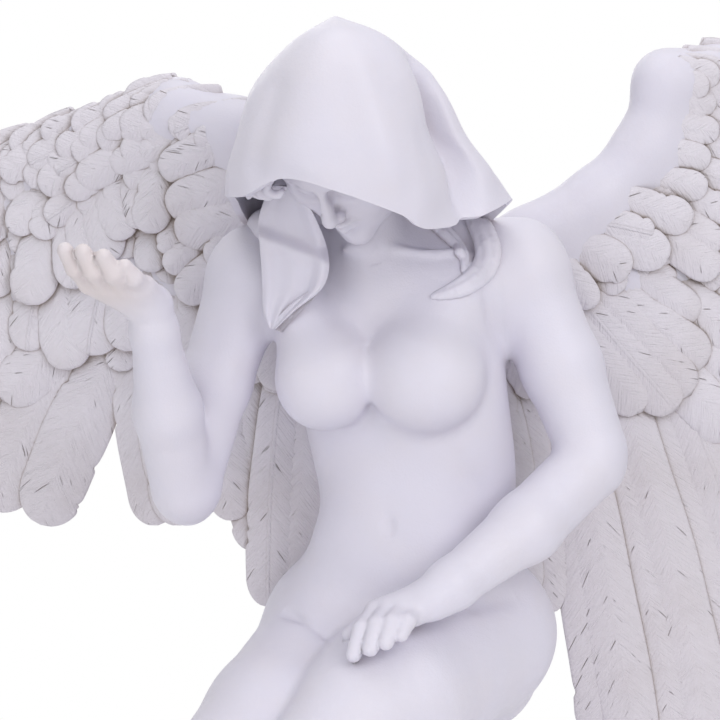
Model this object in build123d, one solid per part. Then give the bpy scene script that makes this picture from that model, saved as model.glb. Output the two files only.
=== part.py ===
"""A seated, hooded angel figurine in cold-cast resin, built as its separate castings, dowels and felt.

Millimetres. The origin is the centre of the felt on the underside of the base, +Z is up, the figure faces -Y,
and her right hand side is towards -X. The castings meet face to face and are pinned with glued steel dowels.
"""

from math import cos, pi, sin
import os

from build123d import *

# ---------------------------------------------------------------- driving sizes
FELT_THICKNESS = 1.0
FELT_INSET = 1.5
PLINTH_HEIGHT = 10.0
PLINTH_HALF_WIDTH = 76.0
PLINTH_HALF_DEPTH = 68.0
PLINTH_SLOPE = 5.0
PLINTH_SIDES = 14
BOULDER_CENTRE = (15, 30)
BOULDER_SIDES = 11
# Height, half width, half depth and turn of the boulder's rough polygons, from the plinth to the seat.
BOULDER_LEVELS = [(8, 44, 38, 0.0), (46, 41, 34, 0.06), (84, 37, 27, 0.0), (108, 31, 22, 0.05)]

DOWEL_RADIUS = 1.5
GLUE_GAP = 0.06
FEATHER_THICKNESS = 2.8
FEATHER_STEP = 0.9
WING_SWEEP = 0.27

# ---------------------------------------------------------------- landmarks of the figure
RIGHT_HIP, LEFT_HIP = (0, 33, 116), (35, 35, 115)
RIGHT_KNEE, LEFT_KNEE = (-39, -24, 90), (-18, -36, 87)
RIGHT_ANKLE, LEFT_ANKLE = (-35, -5, 22), (-14, -18, 22)
RIGHT_HEEL, LEFT_HEEL = (-34, -3, 17.3), (-13, -15, 17.3)
RIGHT_TOES, LEFT_TOES = (-54, -37, 15.4), (-35, -52, 15.4)

RIGHT_SHOULDER, LEFT_SHOULDER = (-22, 34, 212), (45, 35, 213)
RIGHT_ELBOW, RIGHT_FOREARM, RIGHT_WRIST = (-37, 19, 159), (-42, 6, 182), (-44, -3, 206)
RIGHT_KNUCKLES, RIGHT_FINGERTIPS = (-54, -13, 214), (-64, -22, 221)
LEFT_ELBOW, LEFT_WRIST = (62, 25, 167), (25, -5, 138)
LEFT_KNUCKLES, LEFT_FINGERTIPS = (13, -12, 134), (3, -17, 127)

HEAD_CENTRE, CHIN, CROWN_AXIS = (1, 14, 249), (3, 8, 226), (-0.1, -0.5, 1)
NECK_BASE, NECK_TOP = (9, 33, 218), (5, 22, 236)

# Height, centre x, centre y, half width and half depth of the trunk's ovals, from the seat to the neck.
TRUNK_OVALS = [
    (97, 18, 40, 33, 20),
    (108, 17, 37, 38, 26),
    (122, 16, 35, 36, 25),
    (142, 18, 34, 28, 18.5),
    (160, 20, 34, 24.5, 16.5),
    (180, 15, 33, 25.5, 18.5),
    (198, 12, 33, 28, 19),
    (213, 11, 34, 27, 15),
    (224, 9, 34, 12, 11),
]
# The same for the hood, from its hem to its crown.
HOOD_OVALS = [
    (223, 12, 37, 29, 16),
    (231, 9, 26, 34, 31),
    (240, 2, 15, 28.5, 32),
    (252, -1, 12, 25, 27),
    (263, -1, 12, 19.5, 20.5),
    (271, -1, 12, 12, 12.5),
    (275, -1, 12, 4, 4.5),
]

# ---------------------------------------------------------------- landmarks of the wings
# The bony front edge of each wing: points from the shoulder blade to the wing's tip, with the radius at each.
LEFT_WING_ARM = [
    ((27, 54, 203), 9.5),
    ((48, 57, 216), 8.5),
    ((66, 60, 227), 8),
    ((82, 62, 242), 8.5),
    ((92, 65, 258), 8),
    ((108, 70, 256), 7),
    ((124, 77, 242), 5.5),
    ((138, 84, 222), 4),
]
RIGHT_WING_ARM = [
    ((-6, 54, 203), 9.5),
    ((-14, 57, 226), 9.5),
    ((-26, 59, 244), 9.5),
    ((-42, 60, 249), 8.5),
    ((-66, 63, 242), 6.8),
    ((-92, 68, 234), 6),
    ((-112, 74, 222), 5),
    ((-132, 82, 204), 4),
]
# Where the flight feathers end, from the one beside the trunk to the outermost.
LEFT_WING_TIPS = [(70, 61, 88), (84, 64, 66), (100, 68, 54), (116, 73, 54), (132, 79, 66), (147, 86, 92), (156, 92, 126)]
RIGHT_WING_TIPS = [
    (-10, 58, 110),
    (-26, 59, 128),
    (-48, 61, 141),
    (-76, 66, 142),
    (-104, 72, 146),
    (-132, 81, 154),
    (-156, 92, 170),
]
# Each row of feathers: its share of the way from the bony edge to the tips, its count, its width, and its lift.
FEATHER_ROWS = [(1.0, 13, 17, 0.0), (0.64, 11, 15.5, -2.2), (0.38, 9, 14, -3.8)]
FIRST_FEATHER, LAST_FEATHER = 0.06, 0.98

# ---------------------------------------------------------------- where the castings are pinned
DOWELS = {
    "neck_dowel": [((8, 31, 226), (3, 19, 243))],
    "raised_arm_dowel": [((-8, 34, 207), (-25, 34, 209))],
    "resting_arm_dowel": [((32, 34, 207), (49, 34, 209))],
    "right_wing_dowels": [((-5, 43, 206), (-5, 59, 206)), ((-5, 43, 199), (-5, 59, 199))],
    "left_wing_dowels": [((26, 43, 206), (26, 59, 206)), ((26, 43, 199), (26, 59, 199))],
    "seat_dowels": [((4, 38, 84), (4, 38, 112)), ((30, 38, 84), (30, 38, 112))],
}


# ---------------------------------------------------------------- shapes used throughout
def limb(start, start_radius, end, end_radius):
    """A tapering, round-ended limb between two points."""
    along = Vector(*end) - Vector(*start)
    length, diagonal = along.length, sin(pi / 4)
    outline = [
        ThreePointArc((0, -start_radius), (start_radius * diagonal, -start_radius * diagonal), (start_radius, 0)),
        Line((start_radius, 0), (end_radius, length)),
        ThreePointArc(
            (end_radius, length),
            (end_radius * diagonal, length + end_radius * diagonal),
            (0, length + end_radius),
        ),
        Line((0, length + end_radius), (0, -start_radius)),
    ]
    turned = revolve(Plane.XZ * make_face(outline), Axis.Z)
    return Plane(origin=start, z_dir=along) * turned


def ovals(sections):
    """A smooth body through level ovals, each (height, centre x, centre y, half width, half depth)."""
    return loft([Pos(x, y, z) * Ellipse(half_width, half_depth) for z, x, y, half_width, half_depth in sections])


def joined(pieces):
    """One solid from many that run into each other."""
    return pieces[0].fuse(*pieces[1:])


def dowel(start, end, radius=DOWEL_RADIUS, spare=0.0):
    """A round steel pin between two points. With spare, the hole for it, that much larger all round."""
    along = Vector(*end) - Vector(*start)
    pin = Cylinder(radius + spare, along.length + 2 * spare)
    return Plane(origin=(Vector(*start) + Vector(*end)) / 2, z_dir=along) * pin


def drilled(casting):
    """The casting with the dowel holes that reach into it."""
    return casting - [dowel(*ends, spare=GLUE_GAP) for pins in DOWELS.values() for ends in pins]


# ---------------------------------------------------------------- base
def rock_outline(half_width, half_depth, sides, roughness, phase):
    """A rough polygon about the origin: corners on an oval, pushed in and out by two slow waves."""
    corners = []
    for i in range(sides):
        turn = 2 * pi * i / sides + phase
        reach = 1 + roughness * (sin(3 * turn + phase) + 0.6 * sin(5 * turn + 2 * phase))
        corners.append((half_width * reach * cos(turn), half_depth * reach * sin(turn)))
    return make_face(Polyline(*corners, close=True))


def plinth_outline(inset=0.0):
    return rock_outline(PLINTH_HALF_WIDTH - inset, PLINTH_HALF_DEPTH - inset, PLINTH_SIDES, 0.022, 0.2)


def make_felt_pad():
    return extrude(plinth_outline(FELT_INSET), FELT_THICKNESS)


def make_rock_base():
    """Plinth and boulder, one casting."""
    plinth_levels = [(FELT_THICKNESS, 0.0), (FELT_THICKNESS + PLINTH_HEIGHT, PLINTH_SLOPE)]
    plinth = loft([Pos(0, 0, z) * plinth_outline(inset) for z, inset in plinth_levels])
    x, y = BOULDER_CENTRE
    boulder = loft(
        [Pos(x, y, z) * rock_outline(w, d, BOULDER_SIDES, 0.04, 0.5 + turn) for z, w, d, turn in BOULDER_LEVELS],
        ruled=True,
    )
    return plinth + boulder


# ---------------------------------------------------------------- figure
def make_body():
    """Trunk, both legs and both feet, one casting."""
    return joined(
        [
            ovals(TRUNK_OVALS),
            limb(NECK_BASE, 8.5, NECK_TOP, 7.5),
            limb((-4, 18, 186), 11.5, (-2, 23, 193), 10.5),
            limb((22, 15, 187), 12.5, (22, 22, 195), 11.5),
            limb(RIGHT_HIP, 20, RIGHT_KNEE, 11.5),
            limb(LEFT_HIP, 20.5, LEFT_KNEE, 12),
            limb(RIGHT_KNEE, 11, RIGHT_ANKLE, 5.5),
            limb(LEFT_KNEE, 11.5, LEFT_ANKLE, 5.5),
            limb(RIGHT_HEEL, 6, RIGHT_TOES, 4.2),
            limb(LEFT_HEEL, 6, LEFT_TOES, 4.2),
        ]
    )


def make_head():
    """Skull, jaw and a plain nose, bowed over the neck inside the hood."""
    skull = Plane(origin=HEAD_CENTRE, z_dir=CROWN_AXIS) * scale(Sphere(1), by=(15, 18.5, 22))
    return joined([skull, limb((2, 10, 238), 10.5, CHIN, 5), limb((-1, 1, 243), 2.6, (-1, -1, 237), 2.6)])


def make_hood():
    """The drawn-up hood, hollow over the face, with its lapel on her right and a lock of hair on her left."""
    face_opening = limb((1, 5, 232), 16, (-2, -32, 214), 20)
    throat = limb((9, 24, 226), 14, (9, -12, 210), 18)
    lapel = limb((-17, 20, 227), 8.5, (-20, 17, 205), 4.5)
    lock = limb((35, 19, 224), 5, (37, 15, 213), 4.5) + limb((37, 15, 213), 4.5, (27, 11, 206), 2.5)
    return joined([ovals(HOOD_OVALS) - face_opening - throat, lapel, lock])


def make_hand(wrist, knuckles, fingertips, across, finger_radius):
    """A palm, four fingers side by side and a thumb. Across is the way from the little finger to the thumb."""
    side = Vector(*across).normalized()
    palm_end, finger_end = Vector(*knuckles), Vector(*fingertips)
    pieces = [limb(wrist, 5, knuckles, 5.2)]
    for place in (-1.5, -0.5, 0.5, 1.5):
        shift = side * place * finger_radius * 1.75
        pieces.append(limb(palm_end + shift, finger_radius * 1.15, finger_end + shift, finger_radius))
    thumb_root = Vector(*wrist) * 0.6 + palm_end * 0.4 + side * finger_radius * 1.6
    thumb_end = palm_end * 0.7 + finger_end * 0.3 + side * finger_radius * 4.2
    pieces.append(limb(thumb_root, finger_radius * 1.4, thumb_end, finger_radius))
    return pieces


def make_raised_arm():
    """Her right arm, bent up with the palm open."""
    return joined(
        [
            limb(RIGHT_SHOULDER, 11, RIGHT_ELBOW, 7.8),
            limb(RIGHT_ELBOW, 8.2, RIGHT_FOREARM, 7.4),
            limb(RIGHT_FOREARM, 7.4, RIGHT_WRIST, 5.2),
            *make_hand(RIGHT_WRIST, RIGHT_KNUCKLES, RIGHT_FINGERTIPS, (-0.3, 0.75, 0.6), 2.2),
        ]
    )


def make_resting_arm():
    """Her left arm, laid across to the lap."""
    return joined(
        [
            limb(LEFT_SHOULDER, 11.5, LEFT_ELBOW, 9),
            limb(LEFT_ELBOW, 9, LEFT_WRIST, 5.8),
            *make_hand(LEFT_WRIST, LEFT_KNUCKLES, LEFT_FINGERTIPS, (-0.5, 0.65, 0.1), 2.2),
        ]
    )


# ---------------------------------------------------------------- wings
def make_feather(root, tip, width, lift, outward):
    """One flat blade with round ends, square to the wing's outward direction and lifted off its neighbours."""
    along = tip - root
    square = outward - along.normalized() * outward.dot(along.normalized())
    lying = Plane(origin=(root + tip) / 2 + Vector(0, lift, 0), x_dir=along, z_dir=square)
    blade = SlotCenterToCenter(along.length - width / 2, width)
    return lying * extrude(blade, FEATHER_THICKNESS / 2, both=True)


def make_wing(arm, tips, sweep):
    """The bony front edge and three rows of feathers that hang from it, one casting."""
    arm_line, tip_line = Spline(*[point for point, radius in arm]), Spline(*tips)
    pieces = [limb(p, p_radius, q, q_radius) for (p, p_radius), (q, q_radius) in zip(arm, arm[1:])]
    for reach, count, width, row_lift in FEATHER_ROWS:
        for i in range(count):
            t = FIRST_FEATHER + (LAST_FEATHER - FIRST_FEATHER) * i / (count - 1)
            root, full_tip = arm_line @ t, tip_line @ t
            tip = root + (full_tip - root) * reach
            lift = row_lift + (i % 2) * FEATHER_STEP
            pieces.append(make_feather(root, tip, width, lift, Vector(sweep, -1, 0)))
    return joined(pieces)


# ---------------------------------------------------------------- assembly
def main():
    body = make_body()
    head = make_head() - body
    raised_arm = make_raised_arm() - body
    resting_arm = make_resting_arm() - body
    hood = make_hood() - [body, head, raised_arm, resting_arm]
    rock_base = make_rock_base() - body
    neighbours = [body, hood, raised_arm, resting_arm, rock_base]
    castings = {
        "rock_base": rock_base,
        "figure_body": body,
        "head": head,
        "hood": hood,
        "raised_arm": raised_arm,
        "resting_arm": resting_arm,
        "left_wing": make_wing(LEFT_WING_ARM, LEFT_WING_TIPS, WING_SWEEP) - neighbours,
        "right_wing": make_wing(RIGHT_WING_ARM, RIGHT_WING_TIPS, -WING_SWEEP) - neighbours,
    }
    nodes = {name: drilled(casting) for name, casting in castings.items()}
    nodes["felt_pad"] = make_felt_pad()
    for name, pins in DOWELS.items():
        nodes[name] = Compound(children=[dowel(*ends) for ends in pins])
    os.makedirs("parts", exist_ok=True)
    for name, node in nodes.items():
        export_step(node, f"parts/{name}.step")


main()
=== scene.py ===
"""The looks of a seated, hooded angel figurine in white cold-cast resin, built round its CAD frame."""
import math

import bmesh
import bpy
import numpy as np
from mathutils import Matrix, Vector


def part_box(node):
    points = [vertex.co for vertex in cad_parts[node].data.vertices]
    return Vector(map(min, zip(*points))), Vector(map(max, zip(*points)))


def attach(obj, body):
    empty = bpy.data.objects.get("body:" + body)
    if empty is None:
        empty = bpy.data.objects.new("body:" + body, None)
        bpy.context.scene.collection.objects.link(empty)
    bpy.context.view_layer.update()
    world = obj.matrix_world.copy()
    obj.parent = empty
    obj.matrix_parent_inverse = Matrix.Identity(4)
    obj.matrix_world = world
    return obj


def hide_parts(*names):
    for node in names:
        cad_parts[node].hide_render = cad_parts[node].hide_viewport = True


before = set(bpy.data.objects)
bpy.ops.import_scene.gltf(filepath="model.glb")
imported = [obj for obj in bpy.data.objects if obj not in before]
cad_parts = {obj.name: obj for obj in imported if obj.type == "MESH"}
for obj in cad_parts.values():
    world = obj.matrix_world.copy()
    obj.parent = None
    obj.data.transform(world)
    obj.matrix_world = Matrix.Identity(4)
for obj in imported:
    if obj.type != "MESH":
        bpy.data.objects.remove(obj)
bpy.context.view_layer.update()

# ---------------------------------------------------------------- unit, camera, light and floor
# All is laid out in the figure's own millimetres, counted from the middle of the felt it stands on. MM is the
# height of the hood's crown in the frame over its height in the design. A white wall stands behind the figure
# in a dimmer room, and large soft lamps leave no hard shadow on the resin.
CROWN_HEIGHT = 275.0
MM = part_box("hood")[1].z / CROWN_HEIGHT

CAMERA_TARGET = np.array((5.0, 35.0, 188.75))
CAMERA_REACH = 800.0
CAMERA_ELEVATION = math.radians(8.0)
CAMERA_LENS = 160.0
SENSOR_WIDTH = 36.0

camera_data = bpy.data.cameras.new("camera")
camera_data.lens = CAMERA_LENS
camera_data.sensor_width = SENSOR_WIDTH
camera = bpy.data.objects.new("camera", camera_data)
bpy.context.scene.collection.objects.link(camera)
camera_back = np.array((0.0, -math.cos(CAMERA_ELEVATION), math.sin(CAMERA_ELEVATION)))
camera.location = Vector((CAMERA_TARGET + camera_back * CAMERA_REACH) * MM)
camera.rotation_euler = (math.pi / 2 - CAMERA_ELEVATION, 0.0, 0.0)
camera_data.clip_end = 60.0
bpy.context.scene.camera = camera
bpy.context.scene.view_settings.view_transform = "Standard"

world = bpy.data.worlds.new("studio")
world.use_nodes = True
background = world.node_tree.nodes["Background"]
background.inputs["Color"].default_value = (1.0, 1.0, 1.0, 1.0)
sky = world.node_tree.nodes.new("ShaderNodeTexCoord")
sky_parts = world.node_tree.nodes.new("ShaderNodeSeparateXYZ")
world.node_tree.links.new(sky.outputs["Generated"], sky_parts.inputs[0])
behind = world.node_tree.nodes.new("ShaderNodeMapRange")  # a white wall behind the figure
behind.inputs["From Min"].default_value = 0.55
behind.inputs["From Max"].default_value = 0.85
world.node_tree.links.new(sky_parts.outputs["Y"], behind.inputs["Value"])
dome = world.node_tree.nodes.new("ShaderNodeMapRange")  # and a dimmer room, brighter above
dome.inputs["From Min"].default_value = -1.0
dome.inputs["To Min"].default_value = 0.20
dome.inputs["To Max"].default_value = 0.74
world.node_tree.links.new(sky_parts.outputs["Z"], dome.inputs["Value"])
brighter = world.node_tree.nodes.new("ShaderNodeMath")
brighter.operation = "MAXIMUM"
world.node_tree.links.new(behind.outputs[0], brighter.inputs[0])
world.node_tree.links.new(dome.outputs[0], brighter.inputs[1])
world.node_tree.links.new(brighter.outputs[0], background.inputs["Strength"])
bpy.context.scene.world = world


def softbox(name, place, aim, size, power, colour):
    """A square area light at a place, turned to an aim, both in figure millimetres."""
    data = bpy.data.lights.new(name, "AREA")
    data.size = size * MM
    data.energy = power
    data.color = colour
    lamp = bpy.data.objects.new(name, data)
    bpy.context.scene.collection.objects.link(lamp)
    lamp.location = Vector(place) * MM
    lamp.rotation_euler = (Vector(aim) - Vector(place)).to_track_quat("-Z", "Y").to_euler()


softbox("key", (380, -520, 520), (10, 20, 180), 420, 1.75, (1.0, 0.98, 1.0))
softbox("fill", (-480, -560, 300), (0, 20, 190), 520, 1.05, (0.98, 0.98, 1.0))
softbox("front", (20, -900, 110), (0, 20, 190), 460, 0.92, (1.0, 0.99, 1.0))
softbox("top", (0, 60, 760), (0, 30, 200), 420, 0.8, (1.0, 1.0, 1.0))
softbox("rim", (-200, 520, 420), (0, 40, 180), 360, 0.5, (1.0, 0.98, 0.96))


def paint(name, colour, roughness):
    """A plain finish, set on the shader's own sockets."""
    material = bpy.data.materials.new(name)
    material.use_nodes = True
    shader = material.node_tree.nodes["Principled BSDF"]
    shader.inputs["Base Color"].default_value = (*colour, 1.0)
    shader.inputs["Roughness"].default_value = roughness
    return material


FLOOR_RADIUS = 400.0
floor_mesh = bpy.data.meshes.new("floor")
floor_bm = bmesh.new()
bmesh.ops.create_circle(floor_bm, cap_ends=True, segments=96, radius=FLOOR_RADIUS * MM)
floor_bm.to_mesh(floor_mesh)
floor_bm.free()
floor = bpy.data.objects.new("floor", floor_mesh)
pale_floor = paint("pale_floor", (0.90, 0.90, 0.91), 0.8)
pale_floor.node_tree.nodes["Principled BSDF"].inputs["Emission Color"].default_value = (1.0, 1.0, 1.0, 1.0)
pale_floor.node_tree.nodes["Principled BSDF"].inputs["Emission Strength"].default_value = 0.07
floor.data.materials.append(pale_floor)
bpy.context.scene.collection.objects.link(floor)

# ---------------------------------------------------------------- the resin body
# Trunk, legs and both arms are modelled in one flow of lumps, as a sculptor builds them up in wax, then
# parted where the castings are: the two arms come away at the shoulder. A lump is a distance to its
# surface, and lumps run together over a blend width, so flesh has soft hollows where two of them meet.
ROOT = "root"


def egg(centre, radii, yaw=0.0, pitch=0.0, roll=0.0):
    """An ellipsoid: centre, half sizes along its own x, y, z, and its turns in degrees."""
    turn = np.array(Matrix.Rotation(math.radians(yaw), 3, "Z") @ Matrix.Rotation(math.radians(pitch), 3, "X")
                    @ Matrix.Rotation(math.radians(roll), 3, "Y"))
    return ("egg", np.array(centre, float), np.array(radii, float), turn)


def taper(start, start_radius, end, end_radius):
    """A round-ended taper between two points."""
    return ("taper", np.array(start, float), float(start_radius), np.array(end, float), float(end_radius))


def lump_distance(lump, points):
    """How far points are outside one lump, or inside it where the number is negative."""
    if lump[0] == "egg":
        _, centre, radii, turn = lump
        local = (points - centre) @ turn
        scaled = np.linalg.norm(local / radii, axis=1)
        steep = np.linalg.norm(local / radii**2, axis=1)
        return scaled * (scaled - 1.0) / np.maximum(steep, 1e-6)
    _, start, start_radius, end, end_radius = lump
    along = end - start
    share = np.clip((points - start) @ along / (along @ along), 0.0, 1.0)
    near = points - start - share[:, None] * along
    return np.sqrt(np.einsum("ij,ij->i", near, near)) - (start_radius + share * (end_radius - start_radius))


def run_together(a, b, blend):
    """The smaller of two distances, rounded where they are nearly equal."""
    share = np.clip(0.5 + 0.5 * (b - a) / blend, 0.0, 1.0)
    return b * (1.0 - share) + a * share - blend * share * (1.0 - share)


def mass_distance(mass, points):
    """The distance to a mass: a list of (lump, blend width), added in turn."""
    total = lump_distance(mass[0][0], points)
    for lump, blend in mass[1:]:
        total = run_together(total, lump_distance(lump, points), blend)
    return total


def near_path(points, path):
    """The distance from each point to a line of points, and how far along it the nearest place is, 0 to 1."""
    path = np.array(path, float)
    lengths = np.linalg.norm(np.diff(path, axis=0), axis=1)
    marks = np.concatenate(([0.0], np.cumsum(lengths))) / lengths.sum()
    best = np.full(len(points), 1e9)
    where = np.zeros(len(points))
    for i in range(len(path) - 1):
        along = path[i + 1] - path[i]
        share = np.clip((points - path[i]) @ along / (along @ along), 0.0, 1.0)
        gap = np.linalg.norm(points - path[i] - share[:, None] * along, axis=1)
        closer = gap < best
        best = np.where(closer, gap, best)
        where = np.where(closer, marks[i] + share * (marks[i + 1] - marks[i]), where)
    return best, where


def carve(distance, points, path, width, depth):
    """Cuts a soft groove along a path into a distance, or raises a ridge where the depth is negative."""
    gap, where = near_path(points, path)
    fade = np.sin(np.pi * np.clip(where, 0.02, 0.98)) ** 0.5
    return distance + depth * fade * np.exp(-((gap / width) ** 2))


def rough_block(bm, lump):
    """Adds a lump's plain shape to a bmesh, in metres."""
    if lump[0] == "egg":
        _, centre, radii, turn = lump
        place = Matrix.Translation(Vector(centre * MM)) @ Matrix(turn.tolist()).to_4x4()
        bmesh.ops.create_icosphere(bm, subdivisions=3, radius=MM,
                                   matrix=place @ Matrix.Diagonal((*radii, 1.0)))
        return
    _, start, start_radius, end, end_radius = lump
    along = Vector(end - start)
    for at, radius in ((start, start_radius), (end, end_radius)):
        bmesh.ops.create_icosphere(bm, subdivisions=2, radius=radius * MM,
                                   matrix=Matrix.Translation(Vector(at * MM)))
    aim = along.to_track_quat("Z", "Y").to_matrix().to_4x4()
    middle = Matrix.Translation(Vector((start + end) / 2 * MM)) @ aim
    bmesh.ops.create_cone(bm, cap_ends=True, segments=20, radius1=start_radius * MM, radius2=end_radius * MM,
                          depth=along.length * MM, matrix=middle)


def remeshed(mesh, voxel):
    """The mesh with an even skin, its overlaps fused."""
    holder = bpy.data.objects.new("remesh_holder", mesh)
    bpy.context.scene.collection.objects.link(holder)
    modifier = holder.modifiers.new("even", "REMESH")
    modifier.mode = "VOXEL"
    modifier.voxel_size = voxel * MM
    even = bpy.data.meshes.new_from_object(holder.evaluated_get(bpy.context.evaluated_depsgraph_get()))
    bpy.data.objects.remove(holder)
    bpy.data.meshes.remove(mesh)
    return even


def vertex_places(mesh):
    """The mesh's vertices as an array, in figure millimetres."""
    flat = np.empty(len(mesh.vertices) * 3)
    mesh.vertices.foreach_get("co", flat)
    return flat.reshape(-1, 3) / MM


def place_vertices(mesh, places):
    """Moves the mesh's vertices to places in figure millimetres."""
    mesh.vertices.foreach_set("co", (places * MM).ravel())
    mesh.update()


def slope_of(surface, places, step=0.04):
    """The distance at each place and its gradient there."""
    here = surface(places)
    rise = np.stack([surface(places + step * axis) - here for axis in np.eye(3)], axis=1) / step
    return here, rise


def settle(surface, places, rounds):
    """Moves points onto the surface where the distance is nothing."""
    for _ in range(rounds):
        here, rise = slope_of(surface, places)
        push = np.clip(here / np.maximum((rise**2).sum(1), 0.25), -1.2, 1.2)
        places = places - push[:, None] * rise
    return places


def relaxed(mesh, places, share):
    """Points drawn towards the middle of their neighbours, which evens out the skin."""
    ends = np.empty(len(mesh.edges) * 2, dtype=np.int64)
    mesh.edges.foreach_get("vertices", ends)
    ends = ends.reshape(-1, 2)
    total = np.zeros_like(places)
    count = np.bincount(ends.ravel(), minlength=len(places))
    for axis in range(3):
        total[:, axis] = (np.bincount(ends[:, 0], places[ends[:, 1], axis], len(places))
                          + np.bincount(ends[:, 1], places[ends[:, 0], axis], len(places)))
    return places + share * (total / np.maximum(count, 1)[:, None] - places)


def modelled(name, surface, lumps, voxel, rounds=4):
    """A mesh of the surface, begun from its lumps' plain shapes."""
    bm = bmesh.new()
    for lump in lumps:
        rough_block(bm, lump)
    rough = bpy.data.meshes.new(name)
    bm.to_mesh(rough)
    bm.free()
    skin = remeshed(rough, voxel * 1.5)
    place_vertices(skin, settle(surface, vertex_places(skin), rounds))
    skin = remeshed(skin, voxel)
    places = settle(surface, vertex_places(skin), 2)
    for _ in range(2):
        places = settle(surface, relaxed(skin, places, 0.5), 1)
    place_vertices(skin, places)
    skin.name = name
    skin.shade_smooth()
    return skin


def show(name, mesh, material, slot, *cad_nodes):
    """Puts a finished mesh in the scene as a piece that stands for its CAD nodes."""
    piece = bpy.data.objects.new(name, mesh)
    mesh.materials.clear()
    mesh.materials.append(material)
    bpy.context.scene.collection.objects.link(piece)
    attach(piece, ROOT)
    if cad_nodes:
        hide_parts(*cad_nodes)
    return piece


FACING = -16.0
trunk_lumps = [
    (egg((15, 33.5, 187), (26.5, 17.5, 31), FACING), 0),
    (egg((12, 35, 208), (27, 13, 12), FACING), 8),
    (egg((19.5, 34.5, 159), (25, 15.5, 28), FACING), 12),
    (egg((18, 37, 120), (36, 23, 25), FACING / 2), 12),
    (egg((14, 26, 138), (21, 13, 22), FACING), 10),
    (egg((3, 48, 107), (18, 16, 17)), 8),
    (egg((33, 48, 107), (18, 16, 17)), 8),
    (taper((9, 36, 212), 10, (4.5, 22, 241), 7.8), 6),
    (taper((8, 37, 226), 5, (-14, 37, 216), 5.5), 7),
    (taper((10, 37, 226), 5, (36, 38, 217.5), 5.5), 7),
    (taper((1, 34, 117), 19.5, (-16.5, 6, 104), 16.5), 9),
    (taper((-16.5, 6, 104), 16.5, (-36, -21, 90), 11), 3),
    (taper((33, 35, 118.5), 20.8, (13, 3, 110.5), 19.4), 4),
    (taper((13, 3, 110.5), 19.4, (-15, -32, 91), 12.4), 3),
    (egg((5, -5, 110.5), (13, 16, 13.5), FACING), 6),
    (egg((-36.5, -24, 92), (9.5, 9.5, 9.5)), 4),
    (egg((-17, -35.5, 90), (10.3, 10.3, 10.3)), 4),
    (taper((-37, -21, 88), 9.8, (-36.5, -12, 66), 8.8), 5),
    (taper((-36.5, -12, 66), 8.8, (-35, -5, 26), 4.9), 3),
    (egg((-36, -8, 66), (8, 8.5, 17), 0, -8), 4),
    (taper((-17.5, -32, 86), 10.2, (-16, -24, 64), 9), 5),
    (taper((-16, -24, 64), 9, (-14, -18, 26), 4.9), 3),
    (egg((-15.5, -20, 63), (8, 8.8, 17), 0, -8), 4),
    (taper((-12, 24, 206), 6, (-4, 20.5, 190), 10.5), 7),
    (egg((-3.4, 18.0, 186.0), (12.3, 11.0, 12.3)), 3.8),
    (taper((29, 23.5, 206), 7, (21, 18.5, 192), 11.5), 7),
    (egg((21.3, 15.5, 187.0), (14.0, 12.1, 13.4)), 3.8),
]
FOOT_JOINTS = {  # heel, ankle, instep, ball of the foot, tips of the toes
    "right": ((-33, -1, 17), (-35, -5, 25), (-41, -15, 19.5), (-49, -29, 15.5), (-56, -40, 13.6)),
    "left": ((-12, -14, 17), (-14, -18, 25), (-21, -30, 19.5), (-29, -43, 15.5), (-36, -54, 13.6)),
}
for heel, ankle, instep, ball, toes in FOOT_JOINTS.values():
    heel, ankle, instep, ball, toes = (np.array(p, float) for p in (heel, ankle, instep, ball, toes))
    ahead = (toes - ball) / np.linalg.norm(toes - ball)
    across = np.cross(ahead, (0, 0, 1))
    across /= np.linalg.norm(across)
    trunk_lumps += [
        (taper(ankle, 4.8, heel, 5.6), 3),
        (taper(ankle, 4.6, instep, 5.0), 3),
        (taper(heel + ahead * 3, 5.2, ball + across * 3.2, 4.0), 4),
        (taper(heel + ahead * 3, 5.2, ball - across * 3.2, 4.0), 4),
        (taper(instep, 4.8, ball, 4.2), 3),
    ]
    for i in range(5):
        spread = (i - 2) * 3.0
        side = 1 if heel[0] < -20 else -1
        long_toe = 1.0 - 0.13 * (i if side < 0 else 4 - i)
        big = 2.6 if (i == 0 and side < 0) or (i == 4 and side > 0) else 1.9
        root = ball + across * spread + ahead * 1.5
        tip = ball + across * spread * 1.08 + (toes - ball) * long_toe
        trunk_lumps.append((taper(root, big, tip, big * 0.92), 1.2))

right_arm_lumps = [
    (egg((-21, 34, 211), (11, 11.5, 12)), 0),
    (taper((-23, 33, 208), 10, (-31, 25.5, 184), 8.8), 5),
    (taper((-31, 25.5, 184), 8.8, (-36.5, 19.5, 161), 7.4), 3),
    (egg((-37.5, 19, 157.5), (7.2, 7.2, 7.6)), 3),
    (taper((-38.5, 17.5, 160), 7.9, (-41.5, 8, 180), 8.1), 3),
    (taper((-41.5, 8, 180), 8.1, (-44, -2, 201), 5.4), 3),
    (taper((-44, -2, 201), 5.4, (-44.8, -4.5, 207.5), 4.9), 3),
]
left_arm_lumps = [
    (egg((45, 35, 212), (11.5, 12, 12.5)), 0),
    (taper((47, 34, 207), 10.6, (55, 30, 188), 10), 5),
    (taper((55, 30, 188), 10, (62, 26, 169), 8.7), 3),
    (egg((63, 25.5, 165), (8, 8, 8.2)), 3),
    (taper((61, 23, 163.5), 8.6, (45.5, 10, 151), 8.4), 3),
    (taper((45.5, 10, 151), 8.4, (27, -3, 139.5), 6.0), 3),
    (taper((27, -3, 139.5), 6.0, (22.5, -5.5, 137), 5.3), 3),
]
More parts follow.
